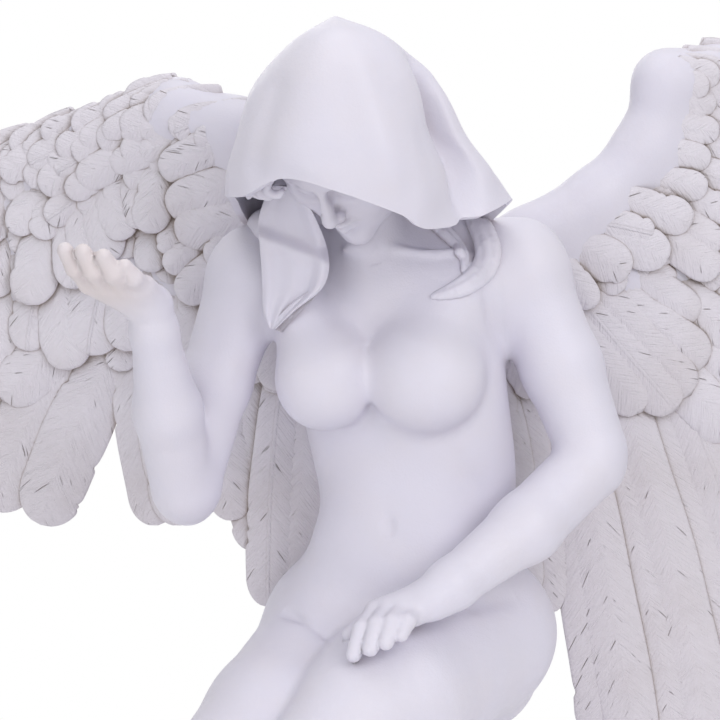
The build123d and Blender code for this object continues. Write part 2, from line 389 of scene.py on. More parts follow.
# Fingers from the little one to the first: knuckle, middle joint, tip. Then the thumb.
RIGHT_FINGERS = [
    ((-45.6, -12.0, 212.6), (-47.6, -17.2, 215.4), (-49.6, -19.0, 218.4)),
    ((-49.9, -12.6, 213.0), (-52.2, -18.2, 216.6), (-54.4, -20.0, 220.6)),
    ((-54.3, -11.8, 213.3), (-57.0, -17.2, 217.2), (-59.2, -19.0, 221.6)),
    ((-58.5, -10.2, 213.6), (-61.4, -15.2, 217.6), (-63.6, -16.8, 221.8)),
]
RIGHT_THUMB = ((-50.5, -0.5, 211.5), (-57.0, -2.0, 215.8), (-61.2, -4.6, 219.2))
LEFT_FINGERS = [
    ((18.0, -9.0, 133.6), (16.2, -14.2, 133.0), (14.8, -17.2, 130.4)),
    ((15.0, -8.2, 134.2), (12.7, -14.6, 132.8), (11.1, -18.0, 128.8)),
    ((12.0, -7.2, 134.2), (9.1, -13.9, 132.0), (7.4, -17.4, 127.2)),
    ((9.0, -6.0, 133.6), (5.6, -12.5, 130.8), (3.5, -16.0, 125.4)),
]
LEFT_THUMB = ((17.0, -1.5, 134.5), (8.5, -1.0, 131.5), (2.5, -4.0, 127.5))


def add_hand(arm, wrist, fingers, thumb, thick):
    """Adds the bones from the wrist to each knuckle, fingers that hardly run together, and a thumb."""
    wrist = np.array(wrist, float)
    knuckles = np.array([finger[0] for finger in fingers], float)
    middle = knuckles.mean(0)
    for i, (knuckle, joint, tip) in enumerate(fingers):
        start = wrist + (np.array(knuckle) - middle) * 0.45
        arm.append((taper(start, 3.6, knuckle, 2.9), 2.2))
    for i, (knuckle, joint, tip) in enumerate(fingers):
        size = thick * (0.86, 0.98, 1.0, 0.96)[i]
        arm.append((taper(knuckle, size * 1.14, joint, size), 0.9))
        arm.append((taper(joint, size * 1.0, tip, size * 0.82), 0.7))
    root, joint, tip = thumb
    arm.append((taper(wrist, 3.6, root, 3.4), 2.5))
    arm.append((taper(root, 3.2, joint, 2.5), 1.5))
    arm.append((taper(joint, 2.5, tip, 1.9), 0.8))


add_hand(right_arm_lumps, (-46.0, -5.5, 208.2), RIGHT_FINGERS, RIGHT_THUMB, 2.45)
add_hand(left_arm_lumps, (22.0, -5.5, 136.6), LEFT_FINGERS, LEFT_THUMB, 2.4)

RIGHT_SHOULDER = np.array((-19.0, 34.0, 208.0))
LEFT_SHOULDER = np.array((42.0, 35.0, 209.0))
SHOULDER_REACH = 24.0
SHOULDER_BLEND = 9.0
TOUCH_BLEND = 0.5


def arm_blend(points, shoulder):
    """How widely an arm runs into the trunk: broadly at the shoulder, hardly at all where it touches."""
    near = np.clip(1.3 - np.linalg.norm(points - shoulder, axis=1) / SHOULDER_REACH, 0.0, 1.0)
    return TOUCH_BLEND + SHOULDER_BLEND * near * near * (3 - 2 * near)


def trunk_surface(points):
    """The distance to the trunk and legs, with the folds and hollows carved in."""
    d = mass_distance(trunk_lumps, points)
    d = carve(d, points, [(8, 17, 196), (7, 17, 184), (8, 17, 176)], 3.0, 1.1)
    d = carve(d, points, [(9, 14, 174), (11, 13, 162), (12, 13, 152)], 3.2, 0.75)
    d = carve(d, points, [(11.8, 15, 152.6), (12.0, 14, 150.2), (12.0, 13, 148.0)], 1.25, 2.0)
    d = carve(d, points, [(-15, 20, 129), (-6, 12, 123.5), (2, 6, 118.5)], 2.0, 1.7)
    d = carve(d, points, [(44, 22, 131), (34, 14, 131), (24, 10, 127)], 3.0, 1.2)
    d = carve(d, points, [(7, 22.5, 218.5), (-4, 23.5, 217), (-14, 27, 217.5)], 1.7, -1.5)
    d = carve(d, points, [(12, 22, 218.5), (24, 22, 217.5), (36, 26, 218.5)], 1.7, -1.5)
    d = carve(d, points, [(8, 20, 217), (9, 20, 214)], 2.2, 0.9)
    d = carve(d, points, [(-1, 17, 172), (-6, 20, 166), (-8, 24, 158)], 3.4, 0.6)
    d = carve(d, points, [(24, 15, 172), (31, 17, 164), (36, 22, 156)], 3.4, 0.6)
    d = carve(d, points, [(2, 6, 118), (-2, 0, 113), (-8, -9, 107), (-18, -20, 100)], 2.2, 1.4)
    d = carve(d, points, [(16, 54, 206), (19, 52, 180), (21, 52, 150), (19, 58, 124)], 3.0, 1.1)
    return d


def right_arm_surface(points):
    """The distance to her right arm and hand."""
    return mass_distance(right_arm_lumps, points)


def left_arm_surface(points):
    """The distance to her left arm and hand."""
    return mass_distance(left_arm_lumps, points)


def figure_surface(points):
    """The distance to the trunk and both arms, run together."""
    d = trunk_surface(points)
    d = run_together(d, right_arm_surface(points), arm_blend(points, RIGHT_SHOULDER))
    d = run_together(d, left_arm_surface(points), arm_blend(points, LEFT_SHOULDER))
    return carve(d, points, [(34, 19, 209.4), (37, 20, 202), (40.5, 21, 194.6)], 1.6, 0.8)


def math_node(tree, kind, first, second=0.0, third=0.0):
    """A Math node; each input is a socket or a number."""
    node = tree.nodes.new("ShaderNodeMath")
    node.operation = kind
    for i, value in enumerate((first, second, third)):
        if isinstance(value, (int, float)):
            node.inputs[i].default_value = value
        else:
            tree.links.new(value, node.inputs[i])
    return node.outputs[0]


def ramp_between(tree, value, low, high, at_low=0.0, at_high=1.0):
    """A value eased from one number to another as it runs from low to high."""
    node = tree.nodes.new("ShaderNodeMapRange")
    node.interpolation_type = "SMOOTHSTEP"
    tree.links.new(value, node.inputs["Value"])
    for socket, number in (("From Min", low), ("From Max", high), ("To Min", at_low), ("To Max", at_high)):
        node.inputs[socket].default_value = number
    return node.outputs[0]


def noise_at(tree, vector, scale, detail=3.0):
    """A cloudy pattern between 0 and 1."""
    node = tree.nodes.new("ShaderNodeTexNoise")
    node.inputs["Scale"].default_value = scale
    node.inputs["Detail"].default_value = detail
    tree.links.new(vector, node.inputs["Vector"])
    return node.outputs["Fac"]


def vector_of(tree, x, y, z):
    """A vector whose parts are sockets or numbers."""
    node = tree.nodes.new("ShaderNodeCombineXYZ")
    for i, value in enumerate((x, y, z)):
        if isinstance(value, (int, float)):
            node.inputs[i].default_value = value
        else:
            tree.links.new(value, node.inputs[i])
    return node.outputs[0]


def mixed(tree, share, first, second):
    """A colour between two; each is a socket or a colour."""
    node = tree.nodes.new("ShaderNodeMix")
    node.data_type = "RGBA"
    tree.links.new(share, node.inputs["Factor"])
    for socket, value in ((node.inputs[6], first), (node.inputs[7], second)):
        if isinstance(value, tuple):
            socket.default_value = (*value, 1.0)
        else:
            tree.links.new(value, socket)
    return node.outputs[2]


RESIN_WHITE = (0.685, 0.665, 0.755)


def smooth_resin(name, painted_glow_place=None):
    """Matt white resin, hardly mottled, with a fine cast grain, a trace of brown wash in the deep creases,
    and painted shade where other surfaces close it in.

    Round a glow place, if there is one, a warm glow is painted into the colour, as if light shone through the
    thin resin."""
    material = paint(name, RESIN_WHITE, 0.52)
    tree = material.node_tree
    shader = tree.nodes["Principled BSDF"]
    place = tree.nodes.new("ShaderNodeTexCoord").outputs["Object"]
    grain = noise_at(tree, place, 1900.0, 4.0)
    soft = noise_at(tree, place, 330.0, 3.0)
    mottle = noise_at(tree, place, 60.0, 3.0)
    height = math_node(tree, "ADD", math_node(tree, "MULTIPLY", grain, 0.055),
                       math_node(tree, "MULTIPLY", soft, 0.09))
    bump = tree.nodes.new("ShaderNodeBump")
    bump.inputs["Strength"].default_value = 1.0
    bump.inputs["Distance"].default_value = MM
    tree.links.new(height, bump.inputs["Height"])
    tree.links.new(bump.outputs["Normal"], shader.inputs["Normal"])
    hollow = tree.nodes.new("ShaderNodeAmbientOcclusion")
    hollow.inputs["Distance"].default_value = 5.0 * MM
    hollow.samples = 6
    # Partly the real wash, partly painted shade: where the ambient occlusion finds the resin closed in, in
    # creases and under or between parts, the colour is browned.
    crease_wash_and_shade = math_node(tree, "MULTIPLY", ramp_between(tree, hollow.outputs["AO"], 0.10, 0.75, 1.0, 0.0), 0.42)
    colour = mixed(tree, ramp_between(tree, mottle, 0.35, 0.75, 0.0, 0.35), RESIN_WHITE, (0.70, 0.665, 0.715))
    colour = mixed(tree, crease_wash_and_shade, colour, (0.42, 0.36, 0.35))
    if painted_glow_place is not None:
        gap = tree.nodes.new("ShaderNodeVectorMath")
        gap.operation = "DISTANCE"
        tree.links.new(place, gap.inputs[0])
        gap.inputs[1].default_value = Vector(painted_glow_place) * MM
        # Painted light: a warm glow round the hand, standing in for light that passes through thin resin.
        painted_glow = ramp_between(tree, gap.outputs["Value"], 5.0 * MM, 19.0 * MM, 0.75, 0.0)
        colour = mixed(tree, painted_glow, colour, (0.70, 0.62, 0.60))
    tree.links.new(colour, shader.inputs["Base Color"])
    tree.links.new(ramp_between(tree, soft, 0.3, 0.7, 0.46, 0.60), shader.inputs["Roughness"])
    shader.inputs["Subsurface Weight"].default_value = 0.12
    shader.inputs["Subsurface Radius"].default_value = (1.0, 0.85, 0.75)
    shader.inputs["Subsurface Scale"].default_value = 1.6 * MM
    return material


skin_resin = smooth_resin("skin_resin", painted_glow_place=(-57, -14, 217))
all_lumps = [lump for lump, blend in trunk_lumps + right_arm_lumps + left_arm_lumps]
all_lumps.append(egg((41, 33, 203), (5, 8, 10)))  # stops the gap in her left armpit while the skin is rough
FIGURE_VOXEL = 0.84
figure_mesh = modelled("figure", figure_surface, all_lumps, FIGURE_VOXEL)
SEAM_DEPTH = 2.2  # how far a casting's edge is turned in where it meets the next


def part_off(name, whole, owners, own, node):
    """Shows the faces of the whole that one casting owns, closed below its skin where it meets the next."""
    bm = bmesh.new()
    bm.from_mesh(whole)
    others = [face for face, owner in zip(bm.faces, owners) if owner != own]
    bmesh.ops.delete(bm, geom=others, context="FACES")
    rim = bmesh.ops.extrude_edge_only(bm, edges=[edge for edge in bm.edges if edge.is_boundary])["geom"]
    rim = [item for item in rim if isinstance(item, bmesh.types.BMVert)]
    rim_places = np.array([vertex.co for vertex in rim]) / MM
    outward = slope_of(figure_surface, rim_places)[1]
    outward /= np.linalg.norm(outward, axis=1)[:, None]
    for vertex, place in zip(rim, rim_places - SEAM_DEPTH * outward):
        vertex.co = Vector(place * MM)
    bmesh.ops.holes_fill(bm, edges=[edge for edge in bm.edges if edge.is_boundary], sides=0)
    bmesh.ops.recalc_face_normals(bm, faces=bm.faces)
    mesh = bpy.data.meshes.new(name)
    bm.to_mesh(mesh)
    bm.free()
    mesh.shade_smooth()
    rise = slope_of(figure_surface, vertex_places(mesh))[1]
    mesh.normals_split_custom_set_from_vertices(rise / np.linalg.norm(rise, axis=1)[:, None])
    show(name, mesh, skin_resin, "skin_resin", node)


face_middles = np.empty(len(figure_mesh.polygons) * 3)
figure_mesh.polygons.foreach_get("center", face_middles)
face_middles = face_middles.reshape(-1, 3) / MM
owners = np.stack([trunk_surface(face_middles), right_arm_surface(face_middles),
                   left_arm_surface(face_middles)]).argmin(axis=0)
part_off("figure_body_sculpt", figure_mesh, owners, 0, "figure_body")
part_off("raised_arm_sculpt", figure_mesh, owners, 1, "raised_arm")
part_off("resting_arm_sculpt", figure_mesh, owners, 2, "resting_arm")

# ---------------------------------------------------------------- the head
# A separate casting that plugs on the neck: a calm, downcast face of plain classical proportions, with the
# eyes at half the head's height and nose and mouth in thirds below the brow. Chin to crown is 48 mm.
HEAD_CENTRE = np.array((0.8, 12.0, 246.8))
HEAD_TURN = np.array(Matrix.Rotation(math.radians(-24), 3, "Z") @ Matrix.Rotation(math.radians(52), 3, "X")
                     @ Matrix.Rotation(math.radians(-3), 3, "Y"))
head_lumps = [
    (egg((0, 3, 6.5), (16.2, 18.5, 17.5)), 0),
    (egg((0, -7, 9), (12.6, 9.6, 11)), 7),
    (egg((0, -4.5, -6), (12.4, 12.6, 17)), 6),
    (egg((0, -7.5, -13.5), (9.6, 9.2, 8.4)), 5),
    (egg((0, -14.6, -20.2), (3.8, 3.4, 3.4)), 4.5),
    (egg((-8.3, -10.6, -5.5), (4.8, 4.6, 5)), 5),
    (egg((8.3, -10.6, -5.5), (4.8, 4.6, 5)), 5),
    (taper((-9.5, -13.2, 2.6), 1.5, (-3.0, -16.4, 3.4), 1.6), 2.6),
    (taper((9.5, -13.2, 2.6), 1.5, (3.0, -16.4, 3.4), 1.6), 2.6),
    (taper((0, -16.2, 3.2), 1.5, (0, -20.4, -5.4), 1.55), 2.2),
    (egg((0, -20.9, -6.3), (1.9, 1.9, 1.7)), 1.4),
    (egg((-1.9, -19.0, -7.0), (1.35, 1.6, 1.2)), 1.0),
    (egg((1.9, -19.0, -7.0), (1.35, 1.6, 1.2)), 1.0),
    (taper((-3.5, -16.9, -11.5), 0.75, (-0.7, -18.6, -10.7), 1.05), 0.9),
    (taper((3.5, -16.9, -11.5), 0.75, (0.7, -18.6, -10.7), 1.05), 0.9),
    (taper((-2.3, -17.1, -13.1), 1.0, (0, -18.0, -13.4), 1.3), 0.9),
    (taper((2.3, -17.1, -13.1), 1.0, (0, -18.0, -13.4), 1.3), 0.9),
]
EYES = ((-5.4, -13.0, -0.8), (5.4, -13.0, -0.8))


def head_surface(points):
    """The distance to the head, with eye sockets, lids, lips and nostrils cut in."""
    local = (points - HEAD_CENTRE) @ HEAD_TURN
    d = mass_distance(head_lumps, local)
    for eye in EYES:
        socket = lump_distance(egg((eye[0], eye[1] - 4.0, eye[2] + 0.4), (4.4, 3.0, 3.2)), local)
        d = -run_together(-d, socket, 1.8)
        d = run_together(d, lump_distance(egg(eye, (3.7, 3.3, 2.9)), local), 0.7)
        side = math.copysign(1.0, eye[0])
        lash = [(eye[0] - 3.4 * side, -15.6, -1.9), (eye[0], -16.5, -3.0), (eye[0] + 3.4 * side, -14.4, -1.9)]
        d = carve(d, local, lash, 0.5, 0.42)
        fold = [(eye[0] - 3.0 * side, -15.9, 1.1), (eye[0], -16.2, 2.0), (eye[0] + 3.4 * side, -14.0, 1.0)]
        d = carve(d, local, fold, 0.6, 0.45)
    d = carve(d, local, [(-3.9, -16.6, -12.0), (-1.5, -18.6, -12.1), (0, -19.0, -12.3), (1.5, -18.6, -12.1),
                         (3.9, -16.6, -12.0)], 0.5, 0.6)
    d = carve(d, local, [(0, -19.6, -8.4), (0, -19.2, -10.2)], 0.8, 0.35)
    return carve(d, local, [(-3, -16.2, -15.8), (0, -17.2, -16.1), (3, -16.2, -15.8)], 1.5, 0.7)


def placed(lumps, centre, turn):
    """Lumps given in a turned frame, as lumps in the figure's own."""
    moved = []
    for lump, _ in lumps:
        if lump[0] == "egg":
            moved.append(("egg", centre + turn @ lump[1], lump[2], turn @ lump[3]))
        else:
            moved.append(("taper", centre + turn @ lump[1], lump[2], centre + turn @ lump[3], lump[4]))
    return moved


HEAD_VOXEL = 0.52
head_mesh = modelled("head", head_surface, placed(head_lumps, HEAD_CENTRE, HEAD_TURN), HEAD_VOXEL)
show("head_sculpt", head_mesh, skin_resin, "skin_resin", "head")

# ---------------------------------------------------------------- the hair
# Wavy strands cast with the head, combed back from a middle parting and hidden by the hood but for the
# curls at the temples. They are rolled and laid side by side, so a deep line is left between each two.
HAIR_STRANDS = []  # each is a list of (point in the head's frame, radius)
for side in (-1, 1):
    for i in range(9):
        share = i / 8
        start = (side * (1.0 + 2.0 * share), -15.5 + 17 * share, 20.0 + 3.0 * math.sin(math.pi * share))
        over = (side * (9.5 + 2.5 * math.sin(math.pi * share)), -12.8 + 17 * share, 16.5 + 1.5 * share)
        temple = (side * (14.3 + 2.3 * math.sin(math.pi * share)), -8.5 + 16 * share, 6.0 + 0.8 * share)
        low = (side * (14.6 + 2.0 * math.sin(math.pi * share)), -6.5 + 16 * share, -5.0 - 1.0 * share)
        end = (side * (12.0 + 1.0 * share), -4.5 + 15 * share, -15.0 - 1.0 * share)
        HAIR_STRANDS.append([(start, 1.6), (over, 2.0), (temple, 2.2), (low, 2.0), (end, 1.4)])
# Curls that roll out from under the hood at her right temple, given in the figure's own millimetres.
CURLS = [
    [((-8, -5.0, 242.5), 1.0), ((-13, -5.5, 239.8), 1.1), ((-16.4, -3.6, 237.2), 1.15),
     ((-17, -2.0, 234.4), 1.05), ((-14.4, -2.4, 233.4), 0.9), ((-13, -3.0, 235.0), 0.6)],
    [((-10, -3.0, 242.0), 1.0), ((-15, -3.4, 239.2), 1.15), ((-18.4, -1.4, 236.6), 1.15),
     ((-18.8, 0.2, 233.6), 1.0), ((-16.2, 0.0, 232.4), 0.8)],
    [((-12, 0.0, 243.0), 1.1), ((-17, -0.5, 240.2), 1.25), ((-20.4, 1.0, 237.2), 1.25),
     ((-20.8, 2.2, 234.2), 1.1), ((-18.4, 2.2, 232.6), 0.9)],
    [((-14, 5.0, 242.0), 1.4), ((-19.5, 5.0, 239.0), 1.5), ((-22.0, 6.5, 235.6), 1.4),
     ((-21.6, 8.0, 232.4), 1.0)],
]


def through(points, steps):
    """A smooth line through some points, as Catmull and Rom draw it, each row being numbers of any kind."""
    points = np.array(points, float)
    padded = np.vstack([2 * points[0] - points[1], points, 2 * points[-1] - points[-2]])
    line = []
    for i in range(len(points) - 1):
        a, b, c, d = padded[i:i + 4]
        for t in np.linspace(0, 1, steps, endpoint=False):
            line.append(0.5 * (2 * b + (c - a) * t + (2 * a - 5 * b + 4 * c - d) * t**2
                                + (3 * b - a - 3 * c + d) * t**3))
    return np.array(line + [points[-1]])


def strand_lumps(strands, steps, centre, turn, blend):
    """Lumps along smooth lines through strands of (point, radius), placed from their own turned frame."""
    lumps = []
    for strand in strands:
        line = through([(*point, radius) for point, radius in strand], steps)
        for a, b in zip(line, line[1:]):
            lumps.append((taper(centre + turn @ a[:3], a[3], centre + turn @ b[:3], b[3]), blend))
    return lumps


hair_lumps = strand_lumps(HAIR_STRANDS, 2, HEAD_CENTRE, HEAD_TURN, 0.5)
hair_lumps += strand_lumps(CURLS, 4, np.zeros(3), np.eye(3), 0.35)
cap = placed([(egg((0, 4.2, 6.5), (16.6, 18.4, 18.0)), 0)], HEAD_CENTRE, HEAD_TURN)[0]


def hair_surface(points):
    """The distance to the strands and the cap of hair they lie on."""
    return run_together(mass_distance(hair_lumps, points), lump_distance(cap, points), 0.8)


HAIR_VOXEL = 0.66
hair_mesh = modelled("hair", hair_surface, [lump for lump, _ in hair_lumps] + [cap], HAIR_VOXEL)
show("hair_sculpt", hair_mesh, skin_resin, "hair_resin")

# ---------------------------------------------------------------- the hood
# A loose veil cast as a shell about 2 mm thick. It stands proud of the brow, falls back over the shoulders
# between the wings, and flares to a corner over her left shoulder, where a deep fold parts it from the dome.
HOOD_CROWN = (-1.0, 12.0, 275.3)
HOOD_FALLS = [  # from the brow round by her left: four points down the cloth, then the hem
    [(-1, -3, 271.5), (-2, -11.5, 262), (-3, -15.6, 250), (-3, -16.2, 241), (-1, -15.5, 235.6)],
    [(7.5, -0.5, 270.5), (12, -7.5, 260.5), (14.5, -11.5, 249), (15, -12.6, 238), (14.5, -11.5, 229.6)],
    [(12.5, 4, 269.5), (18.6, 0, 259), (20.6, -3, 247.5), (23.4, -5, 236), (22, -5.5, 225.6)],
    [(14.0, 8, 268.5), (19.4, 7.0, 259), (22.4, 8.0, 249), (27.5, 7.0, 238.5), (29.5, 2.5, 226.2)],
    [(15.0, 12, 267.5), (23.4, 8.5, 257), (28.0, 7.5, 247), (33.5, 8.0, 238.5), (37, 7.5, 228.8)],
    [(14, 18, 267), (23.5, 17.5, 255.5), (30, 18, 245), (37.5, 18, 237), (42, 17.5, 230.6)],
    [(10, 24, 268), (18, 29, 258), (24, 32, 247), (31, 33, 235), (38.5, 34, 224.5)],
    [(4.5, 28, 268), (10.5, 36, 258), (14.5, 41.5, 246), (20, 46, 230), (27, 49, 212)],
    [(-1, 29, 268), (-0.5, 38, 258), (1, 44, 246), (5, 49, 228), (9, 53, 206)],
    [(-6.5, 27.5, 268), (-11, 36, 258), (-14, 41, 246), (-13, 46, 230), (-8, 51.5, 210)],
    [(-10.5, 22.5, 268), (-18, 29, 258), (-22, 33, 246), (-24, 36.5, 235), (-23.5, 39, 222)],
    [(-12.5, 16, 267.5), (-21, 18, 257), (-24.8, 19, 245), (-26.6, 19, 237), (-27, 20, 230.4)],
    [(-12.5, 10, 268), (-20.8, 9, 258), (-24.6, 7, 246), (-26.8, 6, 238.5), (-27.2, 6, 232.4)],
    [(-11, 4, 269), (-18.2, 0, 259), (-21.8, -3, 248), (-23, -4, 240), (-23, -4, 233.2)],
    [(-7.5, -0.5, 270.5), (-11.5, -7.5, 261), (-13.6, -11.5, 250), (-14, -12.8, 243), (-13.5, -12, 238)],
]
HOOD_FALL_BEARINGS = [0, 33, 58, 71, 86, 105, 130, 157, 180, 203, 230, 255, 276, 300, 328]
HOOD_THICKNESS = 2.0


def fold(points, out, path, width, depth):
    """Moves points outwards by a soft ridge along a path, or inwards where the depth is negative."""
    gap, where = near_path(points, path)
    fade = np.clip(np.minimum(where, 1 - where) / 0.22, 0.0, 1.0)
    return points + out * (depth * fade * fade * (3 - 2 * fade) * np.exp(-((gap / width) ** 2)))[:, None]


hood_bm = bmesh.new()
HOOD_RINGS = 84
bmesh.ops.create_uvsphere(hood_bm, u_segments=200, v_segments=HOOD_RINGS, radius=1.0)
bottom = [v for v in hood_bm.verts if v.co.z < -0.9999]
bmesh.ops.delete(hood_bm, geom=bottom, context="VERTS")
ball = np.array([v.co for v in hood_bm.verts])
down = np.arccos(np.clip(ball[:, 2], -1, 1)) / math.pi / (1 - 1 / HOOD_RINGS)
bearing = np.degrees(np.arctan2(ball[:, 0], -ball[:, 1])) % 360
wrapped = [b - 360 for b in HOOD_FALL_BEARINGS] + HOOD_FALL_BEARINGS + [b + 360 for b in HOOD_FALL_BEARINGS]


def through_marks(marks, values, at):
    """Smooth values between marks that are unevenly spaced."""
    marks, values = np.array(marks, float), np.array(values, float)
    slope = np.gradient(values, marks, axis=0)
    i = np.clip(np.searchsorted(marks, at) - 1, 0, len(marks) - 2)
    gap = marks[i + 1] - marks[i]
    t = (at - marks[i]) / gap
    return ((2 * t**3 - 3 * t**2 + 1) * values[i] + (t**3 - 2 * t**2 + t) * gap * slope[i]
            + (-2 * t**3 + 3 * t**2) * values[i + 1] + (t**3 - t**2) * gap * slope[i + 1])


falls = np.array([[HOOD_CROWN] + fall for fall in HOOD_FALLS], float)
round_falls = np.stack([
    np.stack([through_marks(wrapped, np.tile(falls[:, k, axis], 3), bearing) for axis in range(3)], axis=1)
    for k in range(6)
], axis=1)
lengths = np.linalg.norm(np.diff(falls, axis=1), axis=2).mean(0)
fall_marks = np.concatenate(([0], np.cumsum(lengths))) / lengths.sum()
hood_points = np.empty_like(ball)
for axis in range(3):
    for k in range(5):
        use = (down >= fall_marks[k] - 1e-9) & (down <= fall_marks[k + 1] + 1e-6)
        if not use.any():
            continue
        values = round_falls[use][:, :, axis]
        slope = np.gradient(values, fall_marks, axis=1)
        gap = fall_marks[k + 1] - fall_marks[k]
        t = (down[use] - fall_marks[k]) / gap
        hood_points[use, axis] = (
            (2 * t**3 - 3 * t**2 + 1) * values[:, k] + (t**3 - 2 * t**2 + t) * gap * slope[:, k]
            + (3 * t**2 - 2 * t**3) * values[:, k + 1] + (t**3 - t**2) * gap * slope[:, k + 1]
        )
hood_middle = np.array((0.0, 16.0, 245.0))
out = hood_points - hood_middle
out /= np.linalg.norm(out, axis=1)[:, None]
HOOD_FOLDS = [  # a path down the cloth, the fold's width, and its height or depth
    ([(14, 8, 268), (19.6, 7, 258.5), (22.6, 8, 248.5), (27.8, 7, 238), (31, 3, 226), (32, 2, 221)],
     2.4, -3.6),
    ([(15, 12, 267), (23.4, 10.5, 257), (28, 11.5, 247), (34, 12, 238), (38, 12, 231)], 3.0, 1.6),
    ([(3, -5, 270), (7, -12, 256), (10, -14, 246), (15, -13, 233)], 4.0, 1.1),
    ([(14, -4, 262), (18, -6, 250), (20, -7, 238), (20, -7, 230)], 4.5, -0.8),
    ([(-12, -4, 264), (-17, -8, 252), (-19, -8, 240), (-19, -8, 234)], 4.0, -0.9),
    ([(-18, 3, 262), (-24, 1, 250), (-26, 2, 238), (-26, 3, 230)], 3.0, 0.7),
]
for path, width, height in HOOD_FOLDS:
    hood_points = fold(hood_points, out, path, width, height)
for lean in (-16, -7, 3, 12, 22):
    hood_points = fold(hood_points, out, [(lean * 0.6, 34, 262), (lean, 45, 240), (lean * 1.1, 50, 216)], 2.6,
                       0.9 if lean in (-16, 3, 22) else -0.9)
for vertex, point in zip(hood_bm.verts, hood_points):
    vertex.co = Vector(point * MM)
for _ in range(3):
    bmesh.ops.smooth_vert(hood_bm, verts=[v for v in hood_bm.verts if not v.is_boundary], factor=0.4,
                          use_axis_x=True, use_axis_y=True, use_axis_z=True)
bmesh.ops.recalc_face_normals(hood_bm, faces=hood_bm.faces)
bmesh.ops.solidify(hood_bm, geom=hood_bm.faces[:], thickness=HOOD_THICKNESS * MM)
bmesh.ops.recalc_face_normals(hood_bm, faces=hood_bm.faces)
hood_mesh = bpy.data.meshes.new("hood")
hood_bm.to_mesh(hood_mesh)
hood_bm.free()
hood_mesh.shade_smooth()
cloth_resin = smooth_resin("cloth_resin")
hood_piece = show("hood_shell", hood_mesh, cloth_resin, "cloth_resin", "hood")
rounding = hood_piece.modifiers.new("rounding", "BEVEL")
rounding.width = 0.55 * MM
rounding.segments = 3
rounding.limit_method = "ANGLE"
rounding.angle_limit = math.radians(50)

# The hood's front edge goes on as a lapel over her right breast bone, with a rolled edge.
LAPEL_ROWS = [  # left edge x, y, then right edge x, y, both at one height z
    ((-17.0, 15.0, 234), (-9.5, 6.0, 234)), ((-19.6, 16.0, 226), (-5.6, 10.5, 226)),
    ((-19.4, 17.0, 220), (-3.2, 14.0, 219.5)), ((-19.0, 17.5, 214), (-2.5, 15.0, 214)),
    ((-18.8, 17.5, 208.5), (-4.4, 14.5, 209)), ((-18.6, 17.0, 203), (-10.5, 14.6, 204)),
    ((-17.2, 16.8, 199.2), (-15.6, 15.6, 199.0)),
]


def front_of(surface, x, z, nearest=-45.0):
    """The y where a level line from the front first meets a surface, or 60 where it misses."""
    ys = np.arange(nearest, 60.0, 0.4)
    inside = surface(np.stack([np.full_like(ys, x), ys, np.full_like(ys, z)], axis=1)) < 0
    return float(ys[inside.argmax()]) if inside.any() else 60.0


lapel_bm = bmesh.new()
bmesh.ops.create_grid(lapel_bm, x_segments=34, y_segments=64, size=0.5)
left_edge = through([ends[0] for ends in LAPEL_ROWS], 12)
right_edge = through([ends[1] for ends in LAPEL_ROWS], 12)
marks = np.linspace(0, 1, len(left_edge))
for vertex in lapel_bm.verts:
    across, fallen = vertex.co.x + 0.5, 0.5 - vertex.co.y
    left_point = np.array([np.interp(fallen, marks, left_edge[:, k]) for k in range(3)])
    right_point = np.array([np.interp(fallen, marks, right_edge[:, k]) for k in range(3)])
    place = left_point + (right_point - left_point) * across
    over = place[2] - (221.5 - 0.36 * (place[0] + 19.5))
    place[1] += 3.4 / (1.0 + math.exp(-(over - 1.6) / 0.7)) - 1.1 * math.exp(-((over / 1.5) ** 2))
    rest = min(place[1], front_of(figure_surface, place[0], place[2]) - 1.0)
    roll = 2.4 * math.exp(-(((across - 0.90) / 0.11) ** 2)) + 1.3 * math.exp(-(((across - 0.1) / 0.12) ** 2))
    middle = 1.0 * math.exp(-(((across - 0.48) / 0.16) ** 2)) * min(1.0, 2.0 * fallen)
    place[1] = rest - (roll * min(1.0, 0.25 + 1.5 * fallen) + middle) * min(1.0, 6.0 * (1.0 - fallen) + 0.15)
    vertex.co = Vector(place * MM)
for _ in range(4):
    bmesh.ops.smooth_vert(lapel_bm, verts=[v for v in lapel_bm.verts if not v.is_boundary], factor=0.5,
                          use_axis_x=True, use_axis_y=True, use_axis_z=True)
for face in lapel_bm.faces:
    face.normal_update()
if sum(face.normal.y for face in lapel_bm.faces) > 0:
    bmesh.ops.reverse_faces(lapel_bm, faces=lapel_bm.faces)
LAPEL_THICKNESS = 1.9
bmesh.ops.solidify(lapel_bm, geom=lapel_bm.faces[:], thickness=LAPEL_THICKNESS * MM)
bmesh.ops.recalc_face_normals(lapel_bm, faces=lapel_bm.faces)
lapel_mesh = bpy.data.meshes.new("hood_lapel")
lapel_bm.to_mesh(lapel_mesh)
lapel_bm.free()
lapel_mesh.shade_smooth()
lapel = show("hood_lapel", lapel_mesh, cloth_resin, "cloth_resin")
rounding = lapel.modifiers.new("rounding", "BEVEL")
rounding.width = 0.6 * MM
rounding.segments = 3
rounding.limit_method = "ANGLE"
rounding.angle_limit = math.radians(50)

